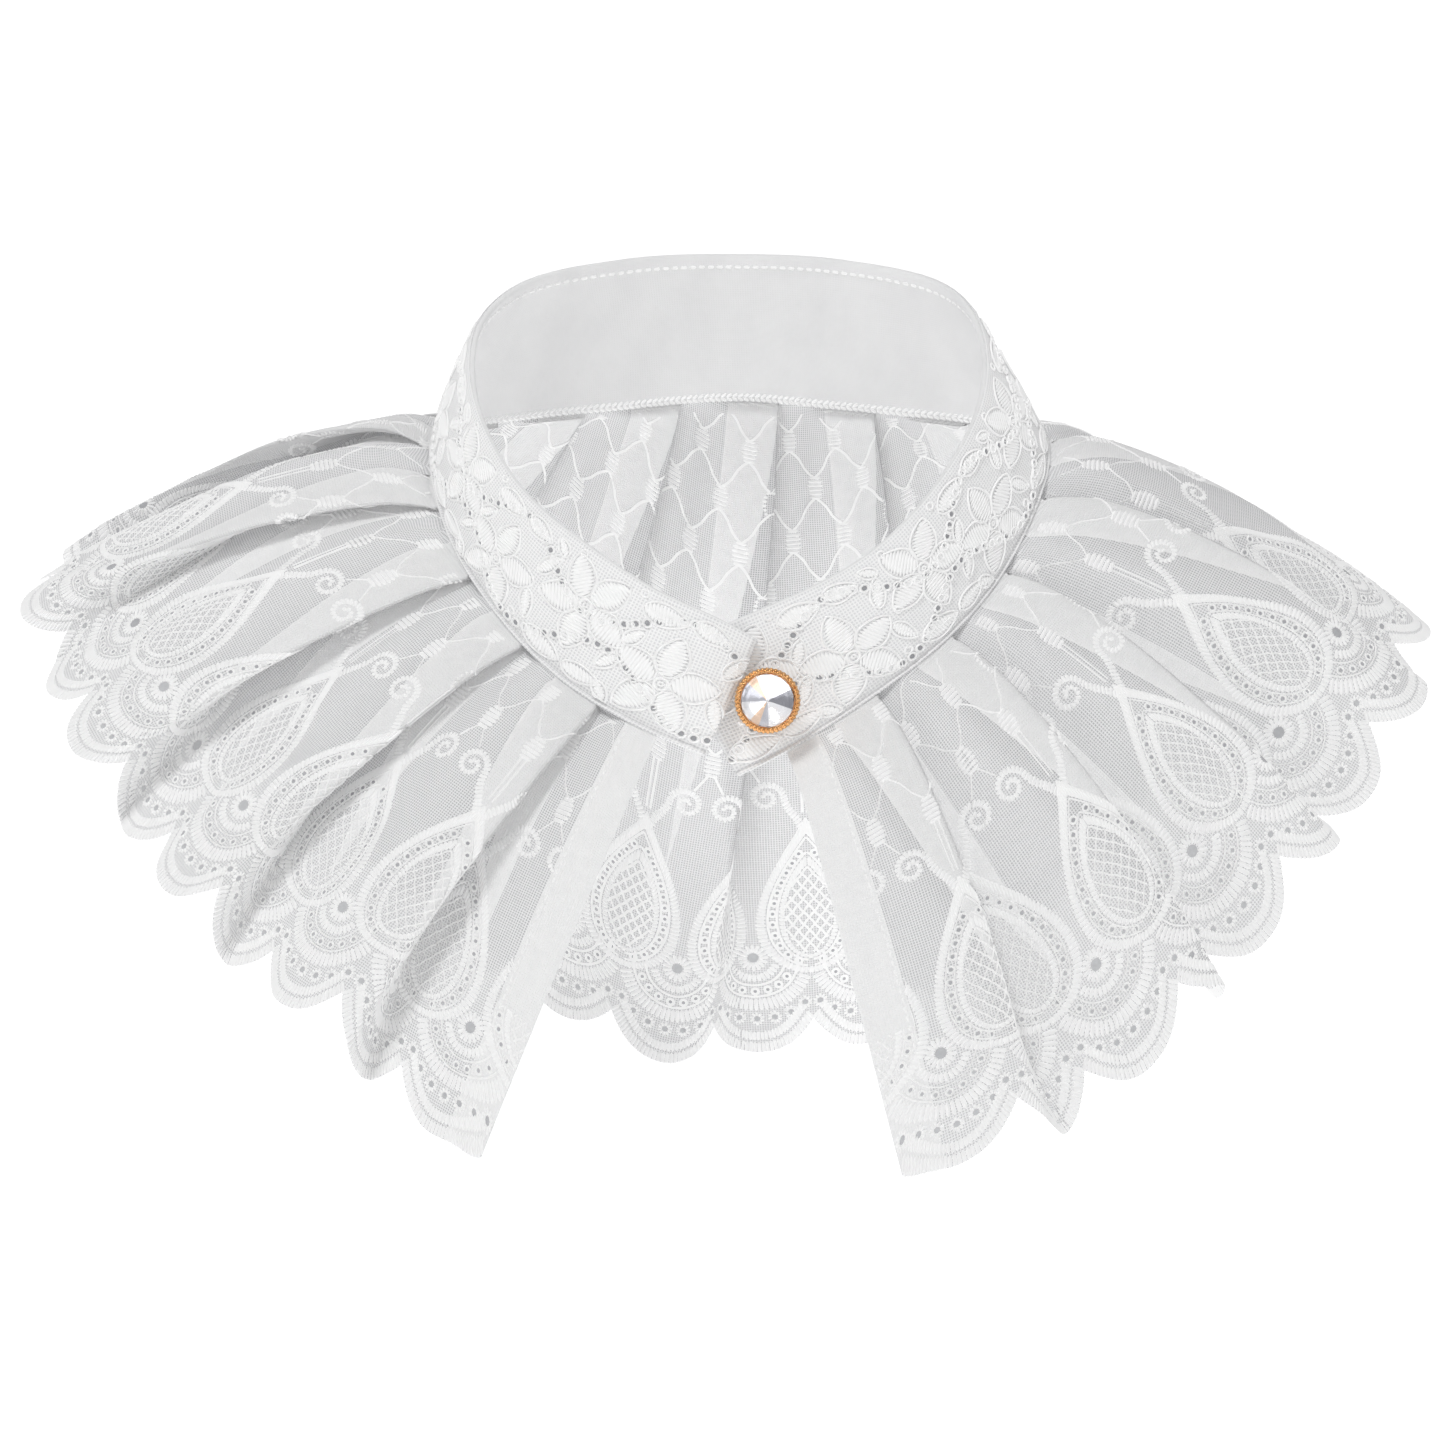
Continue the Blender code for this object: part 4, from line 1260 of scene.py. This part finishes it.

# %% Eyelets
# The loose cut threads inside an eyelet, as a thin grey veil, matt, that a little light passes.
# Its grey is painted shade, for the shade seen through the hole.
eyelet_painted_shade, veil_tree = new_material("eyelet_painted_shade")
veil_place = add_node(veil_tree, "ShaderNodeTexCoord")
veil_mottle = add_node(veil_tree, "ShaderNodeTexNoise", {"Scale": 1500.0}, {
    "Vector": veil_place.outputs["Object"]})
eyelet_shade_tone = add_node(veil_tree, "ShaderNodeMix", {
    "data_type": "RGBA", 6: linear("#97989C"), 7: linear("#B4B5B8")}, {
    0: veil_mottle.outputs["Fac"]})
veil = add_node(veil_tree, "ShaderNodeBsdfPrincipled", {"Roughness": 0.95, "Alpha": 0.85}, {
    "Base Color": eyelet_shade_tone.outputs[2]})
add_node(veil_tree, "ShaderNodeOutputMaterial", None, {"Surface": veil.outputs[0]})
eyelet_points = np.concatenate([REPEAT_FLAT, np.zeros((len(REPEAT_FLAT), 1))], axis=1)
eyelet_points, eyelet_faces = off_turned_edge(repeated((eyelet_points, EYELET_FACES)))
eyelet_shade_seen = mesh_object("cape_eyelet_shade", cape_place(eyelet_points), eyelet_faces, eyelet_painted_shade)
print("cape_eyelet_shade", len(eyelet_faces), "triangles")

# %% The border's embroidery
for piece_name, part in (("cape_scallop_satin", SCALLOP_PART), ("cape_oval_satin", OVAL_PART),
                         ("cape_rings_and_lattice", RING_PART)):
    stitched(piece_name, off_turned_edge(repeated(part)), cape_place)

# %% [markdown]
# ## The net above the border
# Above the border a half-drop net of single threads runs up to the band, with a small knot of
# satin stitches at each crossing. Two columns of knots go to each scallop. The cape is deeper at
# the back, so the net has more rows there: every knot is asked whether the cloth reaches it.

# %% Net
NET_STEP_X, NET_STEP_Y, NET_LOW, NET_ROWS = 0.25 * PITCH, 14.0, 70.0, 8
# A knot is six short stitches, one above the other: half the width of each, and their spacing.
KNOT_HALVES, KNOT_STEP, KNOT_HALF_HEIGHT = (1.6, 2.1, 2.3, 2.3, 2.1, 1.5), 1.12, 2.8
# Where the threads under the lowest knots end: sideways from the knot, and height on the cloth.
TO_SPIRAL, TO_OVAL = (3.4, 62.6), (0.5, 54.0)


def cloth_top(x):
    """How far the cloth reaches up at x, from the valley line."""
    return np.interp(np.asarray(x) / HEM_STRIP, MEASURED_STRIP, MEASURED_DEPTH) - SCALLOP_DEPTH


def net():
    """Knots at the crossings and threads between them."""
    knots, threads = [], []

    def add_thread(line, top, width, height):
        """A thread, as far as the cloth reaches."""
        inside = (line[:, 0] > 0.5) & (line[:, 0] < HEM_STRIP - 0.5) & (line[:, 1] < top)
        if inside.sum() > 2:
            threads.append(cord(line[inside], width, height))

    for column_number in range(4 * SCALLOP_COUNT + 1):
        x = column_number * NET_STEP_X
        top = cloth_top(x)
        for row_number in range(column_number % 2, NET_ROWS, 2):
            y = NET_LOW + row_number * NET_STEP_Y
            if y > top + 6:
                continue
            for step, half in enumerate(KNOT_HALVES):
                lift = y + (step - 2.5) * KNOT_STEP
                if lift < top - 0.8:
                    knots.append((x - half, lift - 0.2, x + half, lift + 0.2, 0.95, 0.6))
            for way in (-1, 1):
                t = np.linspace(0, 1, 7)
                bow = 0.45 * np.sin(2 * np.pi * t)
                upward = y + KNOT_HALF_HEIGHT + (NET_STEP_Y - 2 * KNOT_HALF_HEIGHT) * t
                sideways = x + way * (NET_STEP_X * t + bow)
                add_thread(np.stack([sideways, upward], -1), top - 0.6, 0.66, 0.45)
                if row_number == 0:
                    end_x, end_y = TO_SPIRAL if column_number % 4 == 2 else TO_OVAL
                    downward = np.linspace((x + way * 0.6, y - 2.6), (x + way * end_x, end_y), 8)
                    add_thread(downward, top, 0.62, 0.42)
    return joined([bars(knots)] + threads)


stitched("cape_net", off_turned_edge(net()), cape_place)

# %% Stitching of the turned front edges
edge_stitches = [(x, y, x, y + 1.5, 0.45, 0.36)
                 for x in (TURNED_EDGE - 1.0, HEM_STRIP - TURNED_EDGE + 1.0)
                 for y in np.arange(12.0, float(cloth_top(x)) - 2, 2.2)]
stitched("cape_edge_stitches", bars(edge_stitches), cape_place)

# %% [markdown]
# ## Lace motifs
# The lace is an all-over floral in low relief: large five-petalled flowers with leaves between
# them and rows of small rings behind. One repeat is charted as a table of petals, then set along
# the band. Each petal is filled with slanting stitches inside a thin raised outline.
# Drawing the outlines alone would be cheaper, but the filled shapes are what the eye reads from
# afar.

# %% Petals and leaves
LACE_REPEATS = 9
LACE_PITCH = BAND_LENGTH / LACE_REPEATS
FLOWERS = ((11.0, 12.6, 18), (33.4, 20.4, 54))  # middle and first petal's turn
PETAL_LENGTH, PETAL_BREADTH, PETAL_START = 10.6, 7.6, 1.9
# Leaves: where each starts, which way it points, its length and its breadth.
LEAVES = (
    (22.6, 5.0, -4, 11.0, 5.6), (34.4, 3.6, 8, 9.4, 4.8), (0.6, 28.0, 4, 11.0, 5.6),
    (12.4, 29.0, -6, 9.6, 4.6), (22.2, 15.4, -58, 6.6, 3.4), (22.6, 19.0, 122, 6.6, 3.4),
    (44.6, 13.4, -66, 8.2, 3.8), (44.4, 19.0, 66, 8.0, 3.8), (20.6, 27.6, 40, 5.6, 3.2),
    (1.4, 5.4, 215, 5.2, 3.0))
BERRIES = ((22.0, 10.6), (0.2, 16.8), (22.6, 30.6), (44.0, 27.8), (21.8, 1.9), (4.6, 2.0))
FILL_STEP, FILL_WIDTH, FILL_HEIGHT = 0.84, 0.8, 0.3


def petal(u, v, turn, length, broad, vein=False):
    """The stitches and the cords of one petal that starts at u, v and points along turn."""
    way = np.array([math.cos(math.radians(turn)), math.sin(math.radians(turn))])
    side = np.array([-way[1], way[0]])
    start = np.array([u, v])

    def half_width(t):
        return 0.5 * broad * np.sin(np.pi * t ** 0.8) ** 0.7

    t = np.linspace(0, 1, 13)
    middle = start + way * (t * length)[:, None]
    edge = side * half_width(t)[:, None]
    outline = np.concatenate([middle + edge, (middle - edge)[-2:0:-1]])
    fill = []
    for at in np.arange(0.9, length - 0.6, FILL_STEP):
        half = float(half_width(at / length)) - 0.35
        if half > 0.4:
            here, reach = start + way * at, side * half + way * 0.5
            fill.append((*(here - reach), *(here + reach), FILL_WIDTH, FILL_HEIGHT))
    cords = [cord(outline, 0.62, 0.44, closed=True)]
    if vein:
        cords.append(cord(middle[1:-2], 0.5, 0.36))
    return fill, cords


def lace_repeat():
    """One repeat of the lace, flat: stitches, cords."""
    made, cords = [petal(*row, vein=True) for row in LEAVES], []
    for u, v, first in FLOWERS:
        for degrees in range(first, first + 360, 72):
            turn = math.radians(degrees)
            from_u, from_v = u + PETAL_START * math.cos(turn), v + PETAL_START * math.sin(turn)
            made.append(petal(from_u, from_v, degrees, PETAL_LENGTH, PETAL_BREADTH))
        cords.append(cord(circle(u, v, 1.5, 12), 0.7, 0.5, closed=True))
        cords.append(cord(circle(u, v, 0.5, 6), 0.5, 0.4, closed=True))
    cords += [cord(circle(u, v, 0.95, 9), 0.55, 0.34, closed=True) for u, v in BERRIES]
    fill = [stitch for stitches, _ in made for stitch in stitches]
    return joined([bars(fill)] + [line for _, outline in made for line in outline] + cords)


LACE_PART = lace_repeat()
print("lace repeat:", len(LACE_PART[1]), "triangles,", round(LACE_PITCH, 1), "mm long")

# %% Rows of rings behind the motifs, and the whole lace
# Two waving rows of small buttonhole rings fill the ground between the motifs. Each ring leaves a
# tiny gap, and a grey disc of painted shade in it stands for the shade seen through.
ROW_MIDDLES, ROW_WAVE, RING_STEP, RING_RADIUS, RING_POINTS = (9.0, 24.5), 5.5, 2.7, 1.0, 8
GAP_FAN = np.array([(k, (k + 1) % RING_POINTS, RING_POINTS) for k in range(RING_POINTS)])
# How deep the motifs are sunk, so that they lie on the ground sheet.
LACE_SINK = 0.42


def lace_rings():
    """The rings and the discs of painted shade in their gaps, flat, as two parts."""
    rings, gaps = [], []
    u = np.linspace(0.8, BAND_LENGTH - 0.8, 3000)
    for row_number, middle in enumerate(ROW_MIDDLES):
        v = middle + ROW_WAVE * np.sin(2 * np.pi * u / LACE_PITCH + 2.2 * row_number)
        here, _ = even_path(np.stack([u, v], -1), RING_STEP)
        for x, y in here:
            rings.append(cord(circle(x, y, RING_RADIUS, RING_POINTS), 0.6, 0.7, closed=True))
            hub = np.append(circle(x, y, 0.62 * RING_RADIUS, RING_POINTS), [[x, y]], axis=0)
            gaps.append((np.pad(hub, ((0, 0), (0, 1)), constant_values=-0.02), GAP_FAN))
    return joined(rings), joined(gaps)


def lace_place(flat):
    """Keeps the lace inside the band's cut ends, and low enough to lie on its ground sheet."""
    low = (0.0, 0.1, -np.inf)
    high = (BAND_LENGTH, BAND_HEIGHT - 1.5, np.inf)
    return band_place(np.clip(flat, low, high) - (0.0, 0.0, LACE_SINK))


all_motifs = repeated(LACE_PART, LACE_REPEATS, LACE_PITCH, 0.0)
ring_threads, ring_gap_shade = lace_rings()
lace_gap_shade = mesh_object("band_lace_gap_shade", lace_place(ring_gap_shade[0]), ring_gap_shade[1], eyelet_painted_shade)
LACE_PIECES = [
    stitched("band_lace_motifs", all_motifs, lace_place),
    stitched("band_lace_rings", ring_threads, lace_place),
    lace_gap_shade,
]

# %% [markdown]
# ## Machine stitching
# A row of topstitching runs just below the band's top edge, on the inside. Along the bottom
# edge of the facing a heavier chain stitch closes the band over the cape. Both are thread that
# lies on the cloth, so each stitch is a bar, a little sunk at its ends.

# %% Topstitching and chain
TOPSTITCH_LENGTH, TOPSTITCH_GAP, TOPSTITCH_DOWN = 2.0, 0.7, 2.2
# A link of the chain is two threads that meet: how far above the lower edge each one starts.
CHAIN_STEP, CHAIN_MEET, CHAIN_STARTS = 1.7, 0.9, (1.75, 0.1)


def facing_place(flat):
    """Flat points on the inside of the band: v down from the top edge, height inward."""
    down = flat[:, 1] / BAND_HEIGHT
    inward = LACE_THICK + PIECE_GAP + FACING_THICK + 0.02 + flat[:, 2]
    return band_point(band_angle(flat[:, 0] / BAND_LENGTH, np.clip(down, 0, 1)), down, inward)


stitch_rows = [(u, TOPSTITCH_DOWN, u + TOPSTITCH_LENGTH, TOPSTITCH_DOWN, 0.75, 0.5)
               for u in np.arange(1.5, BAND_LENGTH - 3, TOPSTITCH_LENGTH + TOPSTITCH_GAP)]
for u in np.arange(1.0, BAND_LENGTH - 2, CHAIN_STEP):
    for start in CHAIN_STARTS:
        stitch_rows.append(
            (u, BAND_HEIGHT - start, u + CHAIN_STEP, BAND_HEIGHT - CHAIN_MEET, 0.75, 0.55))
FACING_PIECES = [stitched("facing_stitches", bars(stitch_rows), facing_place)]

# %% [markdown]
# ## The button
# A sew-through shank button: a pressed gilt cup with a knurled edge and a pointed crystal
# glued into it over a mirror foil. The shank of the CAD model has the right shape and stays. The
# cup and the crystal are drawn anew: the cup for its row of beads, the crystal because the way
# its facets meet makes its sparkle.

# %% Gilt
# Electroplated gilt on brass: smooth, polished, warm, with fine scratches that spread the glint.
gilt_brass, gilt_tree = new_material("gilt_brass")
gilt_place = add_node(gilt_tree, "ShaderNodeTexCoord")
rub = add_node(gilt_tree, "ShaderNodeTexNoise", {"Scale": 900.0, "Detail": 3.0}, {
    "Vector": gilt_place.outputs["Object"]})
rub_range = add_node(gilt_tree, "ShaderNodeMapRange", {"To Min": 0.18, "To Max": 0.34}, {
    "Value": rub.outputs["Fac"]})
gilt_tone = add_node(gilt_tree, "ShaderNodeMix", {
    "data_type": "RGBA", 6: linear("#CF9150"), 7: linear("#F2C491")}, {0: rub.outputs["Fac"]})
gilt = add_node(gilt_tree, "ShaderNodeBsdfPrincipled", {"Metallic": 1.0}, {
    "Base Color": gilt_tone.outputs[2], "Roughness": rub_range.outputs[0]})
add_node(gilt_tree, "ShaderNodeOutputMaterial", None, {"Surface": gilt.outputs[0]})


def refinish(node_name, mat):
    """Gives a CAD node that stays its own material."""
    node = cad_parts[node_name]
    node.data.materials.clear()
    node.data.materials.append(mat)


refinish("button_shank", gilt_brass)
print("the shank is gilt")

# %% Thread of the loop
# The loop is the same cotton, two-ply: fine slanting grooves run round it.
PLY_SPACING = 0.7
loop_cotton, loop_tree = new_material("twisted_cotton")
loop_place = add_node(loop_tree, "ShaderNodeTexCoord")
ply = add_node(loop_tree, "ShaderNodeTexWave", {
    "wave_type": "BANDS", "bands_direction": "DIAGONAL", "Scale": WAVE_PER_MM / MM / PLY_SPACING}, {
    "Vector": loop_place.outputs["Object"]})
ply_bump = add_node(loop_tree, "ShaderNodeBump", {"Strength": 0.6, "Distance": 0.0002}, {
    "Height": ply.outputs["Fac"]})
loop_thread = add_node(loop_tree, "ShaderNodeBsdfPrincipled", {
    "Base Color": linear("#F6F6F6"), "Roughness": 0.7}, {"Normal": ply_bump.outputs[0]})
add_node(loop_tree, "ShaderNodeOutputMaterial", None, {"Surface": loop_thread.outputs[0]})
refinish("button_loop", loop_cotton)
print("the loop is twisted every", PLY_SPACING, "mm")

# %% Crystal and foil
# Cut lead-free crystal, IOR 1.54, over a vacuum-coated foil. Each facet sends another part of the
# room to the eye: white, grey, or the warm tone of the gilt, so those reflections are painted on
# the foil, one tone to each facet.
cut_crystal, crystal_tree = new_material("cut_crystal")
crystal = add_node(crystal_tree, "ShaderNodeBsdfPrincipled", {
    "Base Color": linear("#FDFDFF"), "Roughness": 0.02, "IOR": 1.54, "Transmission Weight": 1.0})
add_node(crystal_tree, "ShaderNodeOutputMaterial", None, {"Surface": crystal.outputs[0]})
FOIL_PAINTED_REFLECTIONS = (
    ("foil_painted_white_reflection", "#FFFFFF"), ("foil_painted_grey_reflection", "#B9BAC2"),
    ("foil_painted_gilt_reflection", "#EFC7A2"), ("foil_painted_dark_reflection", "#6A6B76"))
# Which painted reflection each of the sixteen facets of the foil shows, once round. Outer facets
# take every fifth one of the row, so no two rings match.
FOIL_REFLECTION_ROUND = (0, 0, 1, 0, 2, 0, 3, 0, 0, 1, 0, 3, 0, 2, 1, 0)
RING_STRIDE = 5
foils = []
for foil_name, reflection_hex in FOIL_PAINTED_REFLECTIONS:
    foil_material, foil_tree = new_material(foil_name)
    foil_place = add_node(foil_tree, "ShaderNodeTexCoord")
    ripple = add_node(foil_tree, "ShaderNodeTexNoise", {"Scale": 300.0}, {
        "Vector": foil_place.outputs["Object"]})
    foil_reflection_tone = add_node(foil_tree, "ShaderNodeMix", {
        "data_type": "RGBA", 6: linear(reflection_hex), 7: linear("#FFFFFF"), 0: 0.2})
    foil_bump = add_node(foil_tree, "ShaderNodeBump", {"Strength": 0.2, "Distance": 0.0002}, {
        "Height": ripple.outputs["Fac"]})
    # The glow is painted light: it stands for the light that a real stone throws to and fro before
    # it comes out.
    foil = add_node(foil_tree, "ShaderNodeBsdfPrincipled", {
        "Metallic": 1.0, "Roughness": 0.16, "Emission Strength": 0.4}, {
        "Base Color": foil_reflection_tone.outputs[2], "Emission Color": foil_reflection_tone.outputs[2],
        "Normal": foil_bump.outputs[0]})
    add_node(foil_tree, "ShaderNodeOutputMaterial", None, {"Surface": foil.outputs[0]})
    foils.append(foil_material)
print("foil tones:", [name for name, _ in FOIL_PAINTED_REFLECTIONS])

# %% Where the button sits
BUTTON_ANGLE, BUTTON_ALONG = 5.9, 0.6
STONE_RADIUS, STONE_LOW = 5.7, 5.8


def button_axes():
    """The button's place and its own across, up and outward directions, in mm."""
    angle, down = np.array(BUTTON_ANGLE), np.array(BUTTON_ALONG)
    here = band_point(angle, down)
    side = band_point(angle + 1.0, down) - here
    fall = band_point(angle, down + 0.05) - here
    outward = Vector(np.cross(fall, side)).normalized()
    across = Vector(side).normalized()
    return Vector(here), across, outward.cross(across).normalized(), outward


BUTTON_AT, BUTTON_ACROSS, BUTTON_UP, BUTTON_OUT = button_axes()
print("button at", [round(v, 1) for v in BUTTON_AT])


# %% The crystal, ring by ring
BUTTON_AXES = np.array([tuple(v) for v in (BUTTON_ACROSS, BUTTON_UP, BUTTON_OUT)])


def on_button(points):
    """Points across, up and out from the button's place, in mm."""
    return np.array(tuple(BUTTON_AT)) + np.asarray(points) @ BUTTON_AXES


FACETS = 16


def facetted(name, rings, apex, mat):
    """A stone of rings (radius, height, turn by half a step) that closes in a point each way.
    Heights are above STONE_LOW."""
    points = [(0.0, 0.0, apex[0])]
    for radius, height, half in rings:
        for k in range(FACETS):
            a = 2 * math.pi * (k + 0.5 * half) / FACETS
            points.append((radius * math.cos(a), radius * math.sin(a), height))
    points.append((0.0, 0.0, apex[1]))
    turns = [(k, (k + 1) % FACETS) for k in range(FACETS)]
    faces = [(0, 1 + j, 1 + k) for k, j in turns]
    for ring in range(len(rings) - 1):
        low = 1 + ring * FACETS
        high = low + FACETS
        for k, j in turns:
            if rings[ring][2] < rings[ring + 1][2]:
                faces += [(low + k, low + j, high + k), (high + k, low + j, high + j)]
            else:
                faces += [(low + k, high + j, high + k), (low + k, low + j, high + j)]
    last = 1 + (len(rings) - 1) * FACETS
    faces += [(last + k, last + j, len(points) - 1) for k, j in turns]
    placed = on_button(np.array(points) + (0.0, 0.0, STONE_LOW))
    obj = mesh_object(name, placed, np.array(faces), mat)
    flat_shaded(obj)
    return obj


stone = facetted(
    "button_crystal", [(1.2, 0.0, 0), (5.55, 0.9, 1), (STONE_RADIUS, 1.5, 0), (3.9, 2.3, 1)],
    (-0.1, 3.0), cut_crystal)
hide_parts("button_stone")
foil_cup = facetted("button_foil", [(2.6, -0.15, 1), (5.8, 0.75, 0)], (-0.55, -0.3), foils[0])
for extra in foils[1:]:
    foil_cup.data.materials.append(extra)
foil_index = [FOIL_REFLECTION_ROUND[(k if k < FACETS else k * RING_STRIDE) % FACETS]
              for k in range(len(foil_cup.data.polygons))]
foil_cup.data.polygons.foreach_set("material_index", np.array(foil_index, np.int32))
print("crystal facets:", len(stone.data.polygons))

# %% The knurled cup
# The cup's edge is pressed over the stone and rolled between toothed wheels, which leaves a row
# of rounded beads. Each bead is four steps round the cup, deep between beads and full on them.
KNURL_COUNT, BEAD_STEPS = 44, 4
CUP_PROFILE = (  # radius, height, how deep the groove between beads is
    (5.95, 5.9, 0.0), (5.95, 7.0, 0.05), (6.05, 7.5, 0.35), (6.35, 7.75, 0.8), (6.85, 7.6, 0.85),
    (7.15, 7.1, 0.7), (7.15, 5.9, 0.6), (6.6, 5.0, 0.15), (6.2, 4.5, 0.0), (0.05, 4.5, 0.0))
# On top of the edge, above this height, a groove is pressed mostly downward.
TOP_FROM, TOP_LEAN = 6.9, 0.75
steps = KNURL_COUNT * BEAD_STEPS
cup_turn = 2 * np.pi * np.arange(steps + 1) / steps
groove = 0.5 - 0.5 * np.cos(KNURL_COUNT * cup_turn)
cup_rows = []
for radius, height, deep in CUP_PROFILE:
    inward = deep * groove
    lean = TOP_LEAN if height > TOP_FROM else 0.0
    r, z = radius - inward * (1 - lean), height - inward * lean
    cup_rows.append(np.stack([r * np.cos(cup_turn), r * np.sin(cup_turn), z], -1))
cup_faces = grid_faces(numbered(0, len(CUP_PROFILE), steps + 1))
rim = mesh_object("button_cup", on_button(np.concatenate(cup_rows)), cup_faces, gilt_brass)
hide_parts("button_rim")
print("cup:", KNURL_COUNT, "beads")

# %% [markdown]
# ## What each piece of cloth was before it was sewn
# A sheet's flat size is what a cutter would mark on the table. The cape, the facing and the lace
# ground keep their flat layouts, in mm, as UV maps.

print("pieces of cloth: cape, facing and lace")
